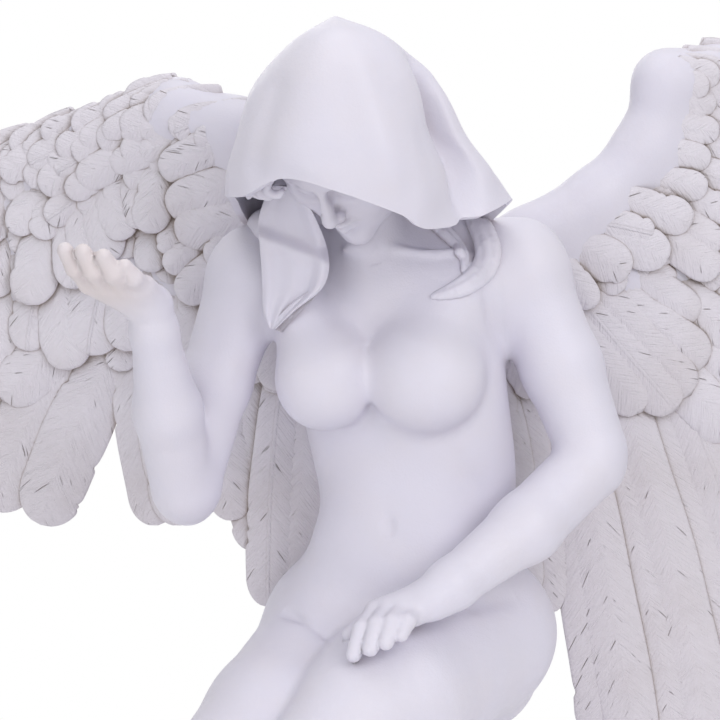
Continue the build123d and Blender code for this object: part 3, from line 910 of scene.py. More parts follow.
# Under the hood the veil lies round the back of the neck in soft folds and runs down on to both shoulders.
COLLAR = [
    (-17.0, 27, 224, 2.6), (-18.0, 33, 221, 4.6), (-14, 40, 218, 6.2), (-4, 46, 215.5, 7),
    (9, 48.5, 214.5, 7), (22, 46, 216, 7), (30, 41, 218.5, 5.2), (33, 35, 221, 3.0),
]
COLLAR_INNER = [
    (-9, 22, 234, 2.4), (-11, 28, 232, 4.2), (-7, 35, 229, 6), (4, 39, 227.5, 6.5), (16, 37, 229, 5.6),
    (21, 30, 232, 4.4), (20.5, 22, 233, 2.6),
]
collar_lumps = []
for line in (COLLAR, COLLAR_INNER):
    for a, b in zip(through(line, 4), through(line, 4)[1:]):
        collar_lumps.append((taper(a[:3], a[3], b[:3], b[3]), 2.0))


def collar_surface(points):
    """The inner veil, gathered in small folds round the neck."""
    d = mass_distance(collar_lumps, points)
    round_neck = np.arctan2(points[:, 0] - 8, points[:, 1] - 28)
    return d + 0.55 * np.sin(round_neck * 13 + 0.35 * points[:, 2])


COLLAR_VOXEL = 0.8
collar_mesh = modelled("hood_collar", collar_surface, [lump for lump, _ in collar_lumps], COLLAR_VOXEL)
show("hood_collar", collar_mesh, cloth_resin, "cloth_resin")

# ---------------------------------------------------------------- the lock of hair on her left shoulder
# Three strands in a flat ribbon that leaves the hood, turns on the collar bone and points back to the
# breast bone, with a thin strand above it.
LOCK_STRANDS = [  # x, z, radius, and how far it stands off the chest
    [(31.5, 229, 1.4, 1.0), (36.0, 223.0, 1.6, 1.1), (38.0, 217.2, 1.7, 1.0), (36.4, 212.2, 1.6, 1.0),
     (31.6, 209.0, 1.4, 0.9), (27, 207.5, 1.0, 0.7), (22.6, 206.8, 0.5, 0.4)],
    [(30, 229, 1.4, 1.5), (34.3, 223.1, 1.6, 1.7), (36.3, 217.5, 1.7, 1.8), (35.0, 213.2, 1.6, 1.7),
     (31.0, 210.2, 1.4, 1.4), (26.6, 208.3, 1.0, 1.0), (22.2, 207.1, 0.4, 0.5)],
    [(28.6, 229, 1.4, 1.2), (32.8, 223.3, 1.5, 1.3), (34.8, 217.9, 1.6, 1.4), (33.9, 214.0, 1.5, 1.3),
     (30.4, 211.2, 1.3, 1.1), (26.4, 209.1, 0.9, 0.8), (22.4, 207.4, 0.4, 0.4)],
    [(19, 227, 0.9, 1.2), (23, 223.4, 1.2, 1.3), (27.4, 219.4, 1.3, 1.2), (30.2, 215.8, 1.0, 1.0),
     (30.0, 212.6, 0.4, 0.5)],
    [(20.6, 227.6, 0.9, 0.9), (24.4, 224.0, 1.1, 0.9), (28.4, 219.9, 1.2, 0.9), (30.9, 216.0, 0.9, 0.8),
     (30.2, 212.8, 0.4, 0.4)],
]
lock_lumps = []
for strand in LOCK_STRANDS:
    line = through(strand, 5)
    places = [np.array((x, front_of(figure_surface, x, z) - stand, z)) for x, z, _, stand in line]
    for a, b, p, q in zip(line, line[1:], places, places[1:]):
        lock_lumps.append((taper(p, a[2], q, b[2]), 0.3))


def lock_surface(points):
    """The distance to the strands of the lock."""
    return mass_distance(lock_lumps, points)


LOCK_VOXEL = 0.42
lock_mesh = modelled("hair_lock", lock_surface, [lump for lump, _ in lock_lumps], LOCK_VOXEL)
show("hair_lock", lock_mesh, skin_resin, "hair_resin")

# ---------------------------------------------------------------- the wings
# Each wing is one resin casting, pinned twice at the back: a smooth fleshy arm along its leading edge, rows
# of overlapping feathers carved by hand on both faces, and long flight feathers. A brown wash stays in the
# cuts.
WING_SWEEP = 0.27          # how far a wing falls back for each millimetre outwards
WING_ROOT_Y = 54.0
RIGHT_WING_ROOT_X = -6.0
LEFT_WING_ROOT_X = 27.0


def on_wing(side, x, z, lift):
    """A point on a wing: side -1 is her right wing, and lift is its height in front of the middle plane."""
    root = RIGHT_WING_ROOT_X if side < 0 else LEFT_WING_ROOT_X
    out = np.array((WING_SWEEP * side, -1.0, 0.0)) / math.hypot(1.0, WING_SWEEP)
    flat = np.array((x, WING_ROOT_Y + WING_SWEEP * side * (x - root), z))
    return flat + lift * out


# The smooth arm of each wing and the web of skin that the rows grow from: x, z and radius along the arm.
RIGHT_WING_ARM = [
    (-6, 203, 9), (-14, 226, 9), (-26, 243, 9.3), (-42, 248.5, 8.4), (-66, 241.5, 6.2), (-92, 233, 5.2),
    (-112, 222, 4.4), (-130, 205, 3.4),
]
LEFT_WING_ARM = [
    (27, 203, 9), (48, 216, 8), (66, 226, 7.6), (80, 240, 7.4), (84, 256, 8), (97, 258.5, 7), (110, 254, 6),
    (124, 242, 5), (136, 224, 3.6),
]
RIGHT_WEB = [
    ((-12, 214), (-15, 197)), ((-20, 228), (-24, 192)), ((-30, 236), (-34, 194)), ((-42, 238), (-44, 196)),
    ((-54, 236), (-56, 196)), ((-66, 232), (-70, 196)), ((-78, 229), (-84, 200)), ((-92, 225), (-98, 203)),
    ((-106, 219), (-112, 205)), ((-118, 212), (-124, 205)),
]
LEFT_WEB = [
    ((34, 204), (37, 196)), ((46, 208), (50, 194)), ((58, 214), (63, 194)), ((70, 222), (76, 194)),
    ((82, 236), (88, 198)), ((92, 246), (98, 204)), ((104, 246), (108, 210)), ((116, 240), (118, 212)),
    ((128, 228), (124, 212)),
]
WING_ARM_VOXEL = 0.9


def wing_arm(name, side, arm, web):
    """The arm as round tapers and the web as flat ones, in the wing's own plane: across, height and lift."""
    def in_plane(points):
        root = RIGHT_WING_ROOT_X if side < 0 else LEFT_WING_ROOT_X
        out = np.array((WING_SWEEP * side, -1.0, 0.0)) / math.hypot(1.0, WING_SWEEP)
        lift = (points - np.array((root, WING_ROOT_Y, 0.0))) @ out
        flat = points - lift[:, None] * out
        return np.stack([flat[:, 0], flat[:, 2], lift], axis=1)

    round_mass = [(taper((a[0], a[1], 0), a[2], (b[0], b[1], 0), b[2]), 4.0) for a, b in zip(arm, arm[1:])]
    flat_mass = [(taper((*a, 0), 11.0, (*b, 0), 6.5), 4.0) for a, b in web]

    def surface(points):
        local = in_plane(points)
        flatter = local * (1.0, 1.0, 2.3)
        rounder = local * (1.0, 1.0, 1.18)
        return run_together(mass_distance(round_mass, rounder), mass_distance(flat_mass, flatter), 7.0)

    spread = []
    for lump, _ in round_mass + flat_mass:
        a, b = (on_wing(side, point[0], point[1], 0.0) for point in (lump[1], lump[3]))
        spread.append(taper(a, lump[2], b, lump[4]))
    mesh = modelled(name, surface, spread, WING_ARM_VOXEL)
    show(name, mesh, skin_resin, "feather_resin")
    return surface


right_wing_skin = wing_arm("right_wing_arm", -1, RIGHT_WING_ARM, RIGHT_WEB)
left_wing_skin = wing_arm("left_wing_arm", 1, LEFT_WING_ARM, LEFT_WEB)


def skin_lift(skin, side, x, z):
    """How high the wing's skin stands over its middle plane at a place, or -9 where there is none."""
    lifts = np.arange(11.0, 0.0, -0.2)
    inside = skin(np.array([on_wing(side, x, z, lift) for lift in lifts])) < 0
    return float(lifts[inside.argmax()]) if inside.any() else -9.0


def feather_blank(rings, segments):
    """A closed ball to be drawn out into a feather, with each vertex's angle from its root and round it."""
    bm = bmesh.new()
    bmesh.ops.create_uvsphere(bm, u_segments=segments, v_segments=rings, radius=1.0)
    blank = bpy.data.meshes.new("feather_blank")
    bm.to_mesh(blank)
    bm.free()
    flat = np.empty(len(blank.vertices) * 3)
    blank.vertices.foreach_get("co", flat)
    ball = flat.reshape(-1, 3)
    along = np.arccos(np.clip(ball[:, 2], -1, 1)) / math.pi
    girth = np.arctan2(ball[:, 1], ball[:, 0])
    blank.attributes.new("vane", "FLOAT_VECTOR", "POINT")
    return blank, along, girth


def draw_feather(blank, side, root, tip, width, thick, bend, tuck, roll, seed, front=1.0):
    """Draws a blank out along a feather's line and writes its vertices, with where each is on the vane."""
    mesh, along, girth = blank
    rng = np.random.default_rng(seed)
    out = on_wing(side, 0.0, 0.0, front) - on_wing(side, 0.0, 0.0, 0.0)
    start = on_wing(side, root[0], root[1], (root[2] - tuck) * front)
    end = on_wing(side, tip[0], tip[1], (tip[2] + tuck * 0.6) * front)
    reach = np.linalg.norm(end - start)
    across = np.cross(out, (end - start) / reach)
    across /= np.linalg.norm(across)
    middle = (start + end) / 2 + across * bend * reach + out * (0.035 * reach)
    s = along[:, None]
    line = start * (1 - s) ** 2 + 2 * s * (1 - s) * middle + end * s**2
    run = 2 * (1 - s) * (middle - start) + 2 * s * (end - middle)
    run /= np.linalg.norm(run, axis=1)[:, None]
    up = out - run * (run @ out)[:, None]
    up /= np.linalg.norm(up, axis=1)[:, None]
    sideways = np.cross(up, run)
    half = width / 2
    swell = 0.62 + 0.38 * np.sin(np.pi / 2 * np.clip(along / 0.62, 0, 1))
    toe_start = 1.0 - min(0.62, 1.25 * half / reach)
    toe = np.clip((along - toe_start) / (1 - toe_start), 0, 1)
    heel = np.clip(1 - along / 0.06, 0, 1)
    breadth = half * swell * np.sqrt(np.maximum(1 - toe**2.1, 0)) * np.sqrt(np.maximum(1 - heel**2, 0))
    t = np.cos(girth)
    millimetres = along * reach
    barb = millimetres - np.abs(t) * half * 0.9
    nick = np.zeros_like(along)
    for edge in (-1, 1):
        for _ in range(rng.integers(1, 4) if reach > 40 else rng.integers(0, 3)):
            where = rng.uniform(0.3, 0.94) * reach
            depth = rng.uniform(0.5, 1.3) * min(1.0, half / 5)
            gap = barb - (where - half * 0.9)
            split = np.exp(-np.where(gap > 0, gap / 0.35, -gap / 1.6)) * np.clip(edge * t - 0.45, 0, 1) / 0.55
            nick = np.maximum(nick, depth * split)
    wobble = 0.35 * np.sin(millimetres / rng.uniform(5, 8) + rng.uniform(0, 6)) * np.clip(half / 6, 0.4, 1)
    wide = t * np.maximum(breadth - nick, 0) + wobble * np.abs(t) * (1 - toe) * np.sign(t) * 0.6
    phase = rng.uniform(0, 6, 4)
    comb = (0.10 * np.sin(barb * 2.1 + phase[0]) + 0.08 * np.sin(barb * 1.27 + phase[1])
            + 0.06 * np.sin(barb * 3.3 + phase[2])) * np.clip(np.abs(t) * 2.5, 0, 1) * (1 - toe**4)
    quill = 0.13 * np.exp(-((t * half / 0.7) ** 2)) * np.clip(1.15 - along, 0, 1)
    fat = thick * (0.72 + 0.28 * (1 - t**2)) * np.sqrt(np.maximum(1 - toe**4, 0))
    fat *= np.sqrt(np.maximum(1 - heel**2, 0))
    face = np.sign(np.sin(girth)) * np.abs(np.sin(girth)) ** 0.62
    high = fat * face * 0.5 + (comb + quill) * face
    high += -0.05 * wide**2 / half + math.tan(math.radians(roll)) * wide
    high += 0.3 * np.sin(millimetres / (reach / 3.1) + phase[3]) * toe
    places = line + sideways * wide[:, None] + up * high[:, None]
    mesh.vertices.foreach_set("co", (places * MM).ravel())
    vane = np.stack([wide, millimetres, np.full_like(wide, (seed % 97) * 1.37)], axis=1)
    mesh.attributes["vane"].data.foreach_set("vector", vane.ravel())


def feather_piece(name, batches, material, *cad_nodes):
    """One piece made of many feathers, in batches of a blank and the dicts that draw_feather takes."""
    bm = bmesh.new()
    for blank, feathers in batches:
        for feather in feathers:
            draw_feather(blank, **feather)
            bm.from_mesh(blank[0])
    bmesh.ops.recalc_face_normals(bm, faces=bm.faces)
    mesh = bpy.data.meshes.new(name)
    bm.to_mesh(mesh)
    bm.free()
    mesh.shade_smooth()
    return show(name, mesh, material, "feather_resin", *cad_nodes)


def row(side, marks, lift, rise, thick, seed, front=1.0, bend=0.0, roll=7.0, tuck=0.9, skin=None,
        widen=1.0, most=0.0):
    """Feathers from (root x, root z, tip x, tip z, width), each a little higher or lower than the last.

    Each root is drawn back by up to most of its length, as long as there is skin there to bury it in."""
    made = []
    rng = np.random.default_rng(seed)
    for i, (root_x, root_z, tip_x, tip_z, width) in enumerate(marks):
        own = rng.uniform(-0.3, 0.3)
        low, high = lift, lift + rise
        run = (tip_x - root_x, tip_z - root_z)
        back = most
        root_x, root_z = root_x - back * run[0], root_z - back * run[1]
        if skin:
            while back > 0.0 and skin_lift(skin, side, root_x, root_z) < 1.0:
                root_x, root_z, back = root_x + 0.2 * run[0], root_z + 0.2 * run[1], back - 0.2
            ground = skin_lift(skin, side, root_x, root_z)
            low = ground - 2.0 if ground > 0 else low
            high = max(high, skin_lift(skin, side, tip_x, tip_z) + 0.35)
        made.append(dict(side=side, root=(root_x, root_z, low + own), tip=(tip_x, tip_z, high + own),
                         width=width * widen, thick=thick * rng.uniform(0.9, 1.12),
                         bend=bend + rng.uniform(-0.03, 0.03), tuck=tuck,
                         roll=roll * side * front + rng.uniform(-2, 2), seed=seed * 100 + i, front=front))
    return made


FEATHER_WHITE = (0.71, 0.68, 0.74)
# The brown of the real wash, also used for the painted shade in hollows and gaps.
WASH_AND_SHADE_BROWN = (0.34, 0.27, 0.235)


def feather_resin(name):
    """White resin with carved barbs, a quill, scattered knife cuts, wash left in the cuts and hollows, and
    painted shade in the gaps between feathers.
    """
    material = paint(name, FEATHER_WHITE, 0.62)
    tree = material.node_tree
    shader = tree.nodes["Principled BSDF"]
    vane = tree.nodes.new("ShaderNodeAttribute")
    vane.attribute_name = "vane"
    parts = tree.nodes.new("ShaderNodeSeparateXYZ")
    tree.links.new(vane.outputs["Vector"], parts.inputs[0])
    t, s, seed = parts.outputs
    off = math_node(tree, "ABSOLUTE", t)
    barb = math_node(tree, "SUBTRACT", s, math_node(tree, "MULTIPLY", off, 1.15))
    half_of = math_node(tree, "MULTIPLY", math_node(tree, "SIGN", t), 3.7)
    own = math_node(tree, "ADD", seed, half_of)
    cells = tree.nodes.new("ShaderNodeTexVoronoi")
    cells.inputs["Scale"].default_value = 1.0
    bow = math_node(tree, "MULTIPLY", math_node(tree, "MULTIPLY", off, off), -0.045)
    curved = math_node(tree, "ADD", barb, bow)
    cell_place = vector_of(tree, math_node(tree, "DIVIDE", curved, 1.35),
                           math_node(tree, "DIVIDE", off, 9.5), own)
    tree.links.new(cell_place, cells.inputs["Vector"])
    patch_place = vector_of(tree, math_node(tree, "MULTIPLY", s, 0.16),
                            math_node(tree, "MULTIPLY", off, 0.3), own)
    patchy = ramp_between(tree, noise_at(tree, patch_place, 1.0, 1.0), 0.46, 0.56)
    keep = math_node(tree, "MULTIPLY", patchy, ramp_between(tree, off, 0.5, 1.1))
    dash = ramp_between(tree, cells.outputs["Distance"], 0.05, 0.18, 1.0, 0.0)
    cut = math_node(tree, "MULTIPLY", dash, keep)
    chance = math_node(tree, "FRACT", math_node(tree, "MULTIPLY", seed, 0.618))
    shown = ramp_between(tree, chance, 0.80, 0.90, 0.03, 0.5)
    quill = math_node(tree, "MULTIPLY", ramp_between(tree, off, 0.1, 0.42, 1.0, 0.0), 0.25)
    quill = math_node(tree, "MULTIPLY", quill, shown)
    gutter = math_node(tree, "MULTIPLY", ramp_between(tree, off, 0.3, 0.5),
                       ramp_between(tree, off, 0.5, 0.85, 1.0, 0.0))
    gutter = math_node(tree, "MULTIPLY", gutter, shown)
    barb_place = vector_of(tree, math_node(tree, "MULTIPLY", barb, 1.7),
                           math_node(tree, "MULTIPLY", off, 0.22), own)
    hair = noise_at(tree, barb_place, 1.0, 2.0)
    place = tree.nodes.new("ShaderNodeTexCoord").outputs["Object"]
    grain = noise_at(tree, place, 1600.0, 3.0)
    blotch = noise_at(tree, place, 55.0, 3.0)
    height = math_node(tree, "MULTIPLY", cut, -0.55)
    height = math_node(tree, "ADD", height, quill)
    height = math_node(tree, "ADD", height, math_node(tree, "MULTIPLY", gutter, -0.16))
    height = math_node(tree, "ADD", height, math_node(tree, "MULTIPLY", hair, 0.34))
    height = math_node(tree, "ADD", height, math_node(tree, "MULTIPLY", grain, 0.16))
    bump = tree.nodes.new("ShaderNodeBump")
    bump.inputs["Strength"].default_value = 1.0
    bump.inputs["Distance"].default_value = MM
    tree.links.new(height, bump.inputs["Height"])
    tree.links.new(bump.outputs["Normal"], shader.inputs["Normal"])
    hollow = tree.nodes.new("ShaderNodeAmbientOcclusion")
    hollow.inputs["Distance"].default_value = 4.0 * MM
    hollow.samples = 6
    # Partly the real wash, partly painted shade: the ambient occlusion browns the gaps and overlaps between
    # feathers, where shade falls.
    crevice_shade_and_wash = ramp_between(tree, hollow.outputs["AO"], 0.25, 0.95, 1.0, 0.0)
    wash_and_painted_shade = math_node(tree, "MAXIMUM", math_node(tree, "MULTIPLY", cut, 0.6), crevice_shade_and_wash)
    wash_and_painted_shade = math_node(tree, "MAXIMUM", wash_and_painted_shade, math_node(tree, "MULTIPLY", gutter, 0.16))
    wash_and_painted_shade = math_node(tree, "ADD", wash_and_painted_shade, ramp_between(tree, blotch, 0.45, 0.75, 0.0, 0.10))
    wash_and_painted_shade = math_node(tree, "ADD", wash_and_painted_shade, ramp_between(tree, s, 18.0, 42.0, 0.0, 0.14))
    wash_and_painted_shade = math_node(tree, "MULTIPLY", wash_and_painted_shade, ramp_between(tree, grain, 0.2, 0.6, 0.75, 1.05))
    tree.links.new(mixed(tree, wash_and_painted_shade, FEATHER_WHITE, WASH_AND_SHADE_BROWN), shader.inputs["Base Color"])
    return material


feather_material = feather_resin("feather_resin")
big_blank = feather_blank(110, 28)
small_blank = feather_blank(32, 22)
fill_blank = feather_blank(20, 14)

# Feathers of her right wing: root x, root z, tip x, tip z, width. Flight feathers first, then the rows over
# them.
RIGHT_FLIGHT = [
    (-62, 191.5, -82, 144.5, 19), (-55, 192, -79, 139.5, 18), (-55, 194.5, -47.5, 141, 13.5),
    (-47.5, 194.5, -41, 141.5, 14.5), (-39.5, 195, -33.5, 145, 14), (-32, 190, -27, 143.5, 13),
    (-24, 188, -22, 135.5, 12), (-14, 188, -18, 121, 12.5), (-6, 186, -12, 118, 12.5),
]
RIGHT_FLIGHT_OUTER = [
    (-66, 200, -92, 143, 18), (-74, 205, -102, 144.5, 18), (-84, 208, -112, 148, 17.5),
    (-94, 210, -122, 152, 17), (-103, 211, -132, 157, 16.5), (-112, 210, -141, 163, 16),
    (-119, 208, -148, 170, 15), (-125, 205, -153, 178, 14),
]
RIGHT_GREATER = [
    (-85, 217, -91, 200, 10.5), (-86, 202.5, -88.5, 184, 11.5), (-80, 192, -97.5, 175.5, 12.5),
    (-69, 191.5, -88, 173, 13), (-78.5, 203.5, -80.5, 186, 10.5), (-53, 206.5, -55, 187, 11.5),
    (-45, 207.5, -46, 186.5, 12), (-37, 205, -37.5, 184.5, 12), (-29.5, 204, -29.5, 182, 12),
    (-22.5, 200.5, -22, 179.5, 12), (-60.5, 207, -64.5, 185.5, 15), (-72.5, 206.5, -69.5, 181.5, 12.5),
    (-14, 203, -15, 178, 12), (-96, 214, -104, 186, 13), (-105, 214, -115, 187, 13),
    (-113, 213, -126, 189, 12.5), (-121, 210, -136, 192, 12), (-128, 206, -144, 195, 11),
    (-90, 206, -97, 184, 13),
]
RIGHT_MEDIAN = [
    (-28.5, 212, -40, 201.5, 9.4), (-25, 204.5, -33, 192.5, 9), (-35, 216.5, -43, 208.5, 7.2),
    (-47, 219.5, -48, 208, 8.6), (-41, 221.5, -44, 213, 6.4), (-24, 215.5, -33.5, 212.5, 8.5),
    (-74, 218.5, -80, 198.5, 11.5), (-69, 221.5, -67, 203, 9), (-66, 224, -63, 206.5, 9),
    (-62, 227, -57, 210.5, 9), (-58.5, 230, -54, 216, 9.2), (-52, 233, -50, 219, 8),
    (-77.5, 228, -83.5, 217, 8), (-72, 226.5, -77, 216, 8.6), (-64.5, 228, -74.5, 220.5, 7.4),
    (-26, 222.5, -41, 218.5, 10.4), (-45, 233, -48, 218, 9.6), (-25.5, 231.5, -43, 224.5, 9.8),
    (-88, 226, -95, 210, 9), (-96, 224, -104, 207, 9), (-104, 222, -113, 204, 9), (-112, 219, -122, 201, 9),
    (-120, 214, -131, 198, 8.5), (-127, 209, -138, 196, 8),
]
RIGHT_LESSER = [
    (-86, 235, -95, 228, 7.5), (-77.5, 237.5, -86.5, 232, 7), (-68.5, 234, -76, 228.5, 7.6),
    (-61, 232.5, -69, 227.5, 6), (-64.5, 237.5, -72, 233, 6), (-56, 236.5, -66, 231, 7),
    (-48.5, 238.5, -57.5, 235, 6), (-42.5, 241.5, -51, 238.5, 5.6), (-35, 239, -44.5, 233.5, 8),
    (-25, 241, -33, 237.5, 7), (-85, 240.5, -93.5, 236, 6.5), (-70, 239.5, -79, 235, 7),
    (-62.5, 242.5, -71.5, 238.5, 6.6), (-58, 244.5, -65, 240.5, 6), (-52, 247, -59, 243, 5.4),
    (-47.5, 246, -54.5, 243, 5.4), (-40, 247, -50, 244, 5.6), (-31, 247.5, -40.5, 244, 6.4),
    (-76, 243.5, -84, 239, 6), (-67.5, 246, -75.5, 242.5, 5.4), (-59, 248, -67, 245, 5),
    (-50.5, 251.5, -59, 247, 5.6), (-44, 253, -52, 249.5, 5.6), (-37.5, 252, -47, 250, 6.2),
    (-95, 233, -103, 226, 7.4), (-104, 229, -112, 221, 7.2), (-112, 225, -120, 216, 7),
    (-119, 219, -127, 209, 6.8), (-94, 238, -102, 233, 6.4), (-102, 235, -110, 229, 6.2),
    (-110, 231, -118, 223, 6), (-118, 225, -125, 216, 5.8), (-125, 216, -132, 206, 5.6),
]
# Her left wing, in the same way.
LEFT_FLIGHT = [
    (50, 186, 69, 84, 14), (56, 188, 80, 68, 15), (62, 190, 92, 57, 15.5), (68, 192, 104, 52, 16),
    (74, 194, 116, 52, 16.5), (80, 196, 128, 58, 17), (86, 198, 138, 68, 17), (93, 202, 147, 82, 16.5),
    (100, 206, 152, 98, 16), (108, 210, 155, 116, 15.5), (115, 213, 156, 134, 14.5),
    (121, 214, 154, 150, 13),
]
LEFT_INNER = [
    (30, 196, 40, 128, 12), (37, 194, 47, 122, 12), (43, 192, 54, 118, 12), (34, 200, 43, 158, 10),
    (42, 200, 52, 158, 10),
]
LEFT_GREATER = [
    (55, 200, 77.5, 171, 10.5), (84, 183.5, 101, 163, 12), (61, 201, 86, 171, 11), (63.5, 205, 90, 175, 11),
    (87.5, 194.5, 106, 175, 12), (69, 203.5, 94.5, 183, 11), (85.5, 203.5, 105, 186.5, 11),
    (72, 209, 92, 195, 9.5), (99, 192, 119.5, 173.5, 12), (97.5, 203, 116.5, 187, 11.5),
    (104, 206, 127, 180, 12), (110, 210, 134, 184, 12), (116, 213, 139, 190, 11.5),
    (121, 214, 143, 197, 11), (46, 202, 60, 176, 10.5), (38, 204, 50, 176, 10),
]
LEFT_MEDIAN = [
    (56.5, 209.5, 63.5, 199, 7), (81, 218, 96.5, 206.5, 9), (82.5, 223, 97, 213.5, 8.6),
    (86, 228.5, 99.5, 222, 8), (94, 217, 107.5, 206.5, 9), (93, 225, 107, 217, 8.6),
    (102, 218, 116.5, 207.5, 9.4), (101, 226, 115, 217.5, 9), (110, 222, 124, 208, 9),
    (117, 221, 131, 206, 9), (123, 219, 137, 205, 8.5),
]
LEFT_LESSER = [
    (65, 212.5, 73, 207.5, 9.4), (72.5, 215.5, 83, 211, 9), (70, 219.5, 79, 217.5, 7.2),
    (78, 224, 89, 220, 8), (85, 230.5, 93, 229, 6.4), (86, 238, 94, 236, 6), (88, 245, 96, 243.5, 6),
    (87.5, 252, 95, 250, 6), (87.5, 259.5, 95.5, 257.5, 6), (95, 232, 104, 228.5, 7.4),
    (95.5, 239.5, 104, 236.5, 7), (95.5, 247, 104, 245, 6.6), (95, 254, 103, 252, 6.4),
    (96, 261, 104, 258.5, 6), (103.5, 233.5, 113, 229.5, 8), (103.5, 242, 113, 238, 7.4),
    (103.5, 250, 112.5, 246.5, 7), (102.5, 257.5, 111, 254.5, 6.4), (112, 236, 121, 230, 8),
    (112, 244, 121, 239, 7.4), (111, 251, 119, 247, 7), (120, 234, 129, 226, 7.6), (120, 241, 128, 235, 7),
    (127, 229, 135, 219, 7), (132, 224, 138, 213, 6.4),
]
WEB_FOOT = 205.0  # below this height the feathers grow past the wing's skin


def between(marks, apart, length, width, side, skin):
    """Feathers that fill the gaps under the marked ones, staggered and turned like the ones near by."""
    marks = np.array(marks, float)
    middles = (marks[:, :2] + marks[:, 2:4]) / 2
    ways = (marks[:, 2:4] - marks[:, :2]) / np.linalg.norm(marks[:, 2:4] - marks[:, :2], axis=1)[:, None]
    made = []
    for i, x in enumerate(np.arange(middles[:, 0].min(), middles[:, 0].max() + apart, apart)):
        for z in np.arange(middles[:, 1].min() + (i % 2) * apart / 2, middles[:, 1].max() + apart, apart):
            gaps = np.linalg.norm(middles - (x, z), axis=1)
            if gaps.min() < 7.0:
                way = np.exp(-((gaps / 7.0) ** 2)) @ ways
                way *= length / 2 / np.linalg.norm(way)
                root_skin = skin_lift(skin, side, x - way[0], z - way[1])
                if z < WEB_FOOT or min(root_skin, skin_lift(skin, side, x, z)) > 2.0:
                    made.append((x - way[0], z - way[1], x + way[0], z + way[1], width))
    return made


def wing_feathers(side, flight, greater, median, lesser, seed, skin):
    """The feathers of one wing as batches for its three pieces: flight feathers, front rows and back rows."""
    long_ones = []
    for i, feather in enumerate(row(side, flight, 0.0, 0.0, 2.1, seed, roll=6.0, bend=0.03 * side)):
        step = 0.8 if i % 2 else -0.3
        feather["root"] = (*feather["root"][:2], feather["root"][2] + step)
        feather["tip"] = (*feather["tip"][:2], feather["tip"][2] + step)
        long_ones.append(feather)
    faces = []
    for front in (1.0, -1.0):
        rows = (row(side, greater, 1.4, 2.4, 2.5, seed + 1, front, widen=1.15, most=0.2)
                + row(side, median, 3.2, 2.4, 2.3, seed + 2, front, skin=skin, widen=1.15, most=0.4)
                + row(side, lesser, 4.4, 1.5, 1.7, seed + 3, front, tuck=0.4, skin=skin, widen=1.3, most=1.0))
        short_fill = between(median + lesser, 6.5, 14.0, 9.0, side, skin)
        long_fill = between(greater, 8.0, 18.0, 10.5, side, skin)
        under = (row(side, short_fill, 0.8, 1.4, 1.5, seed + 4, front, skin=skin)
                 + row(side, long_fill, 0.4, 1.4, 1.6, seed + 5, front))
        faces.append([(small_blank, rows), (fill_blank, under)])
    return [(big_blank, long_ones)], *faces


RIGHT_WING = (-1, RIGHT_FLIGHT + RIGHT_FLIGHT_OUTER, RIGHT_GREATER, RIGHT_MEDIAN, RIGHT_LESSER, 11,
              right_wing_skin)
LEFT_WING = (1, LEFT_FLIGHT + LEFT_INNER, LEFT_GREATER, LEFT_MEDIAN, LEFT_LESSER, 31, left_wing_skin)
for wing, laid_out in (("right_wing", RIGHT_WING), ("left_wing", LEFT_WING)):
    long_ones, front_rows, back_rows = wing_feathers(*laid_out)
    feather_piece(f"{wing}_flight_feathers", long_ones, feather_material, wing)
    feather_piece(f"{wing}_front_feathers", front_rows, feather_material)
    feather_piece(f"{wing}_back_feathers", back_rows, feather_material)

# ---------------------------------------------------------------- the rock seat
# One cast block: a broken boulder that she sits on, standing on rough ground with a bevelled edge. It is the
# same resin, with the brown wash heavier in its cracks, and it is pinned to the body from below.
GROUND_TOP = 10.6
ROCK_FOOT = 1.0
rock_lumps = [
    (egg((15, 31, 44), (45, 38, 68)), 0),
    (egg((-12, 20, 22), (27, 24, 34), 20), 5),
    (egg((42, 22, 22), (25, 24, 36), -15), 5),
    (egg((30, 56, 26), (30, 20, 40), 10), 5),
    (egg((-18, 48, 24), (22, 20, 30), 35), 5),
    (egg((12, 33, 84), (33, 27, 16)), 6),
]
rock_rng = np.random.default_rng(5)
ROCK_CUTS = []  # flat breaks: an outward direction and how far out the rock still reaches
for i in range(46):
    turn = 2 * math.pi * (i * 0.618 % 1.0)
    lean = rock_rng.uniform(-0.25, 0.75)
    direction = np.array((math.cos(turn) * math.cos(lean), math.sin(turn) * math.cos(lean), math.sin(lean)))
    ROCK_CUTS.append((direction, rock_rng.uniform(0.74, 0.90)))
ROCK_MIDDLE = np.array((14.0, 32.0, 40.0))
GROUND_SIDES = 14


def ripple(points, size, seed):
    """A cheap uneven swell between about -1 and 1, for broken stone."""
    rng = np.random.default_rng(seed)
    total = np.zeros(len(points))
    for octave in range(4):
        for _ in range(3):
            way = rng.normal(size=3)
            way /= np.linalg.norm(way)
            wave = 2 * math.pi / (size / 1.9**octave)
            total += np.sin(points @ way * wave + rng.uniform(0, 6)) / 1.7**octave
    return total / 5.5


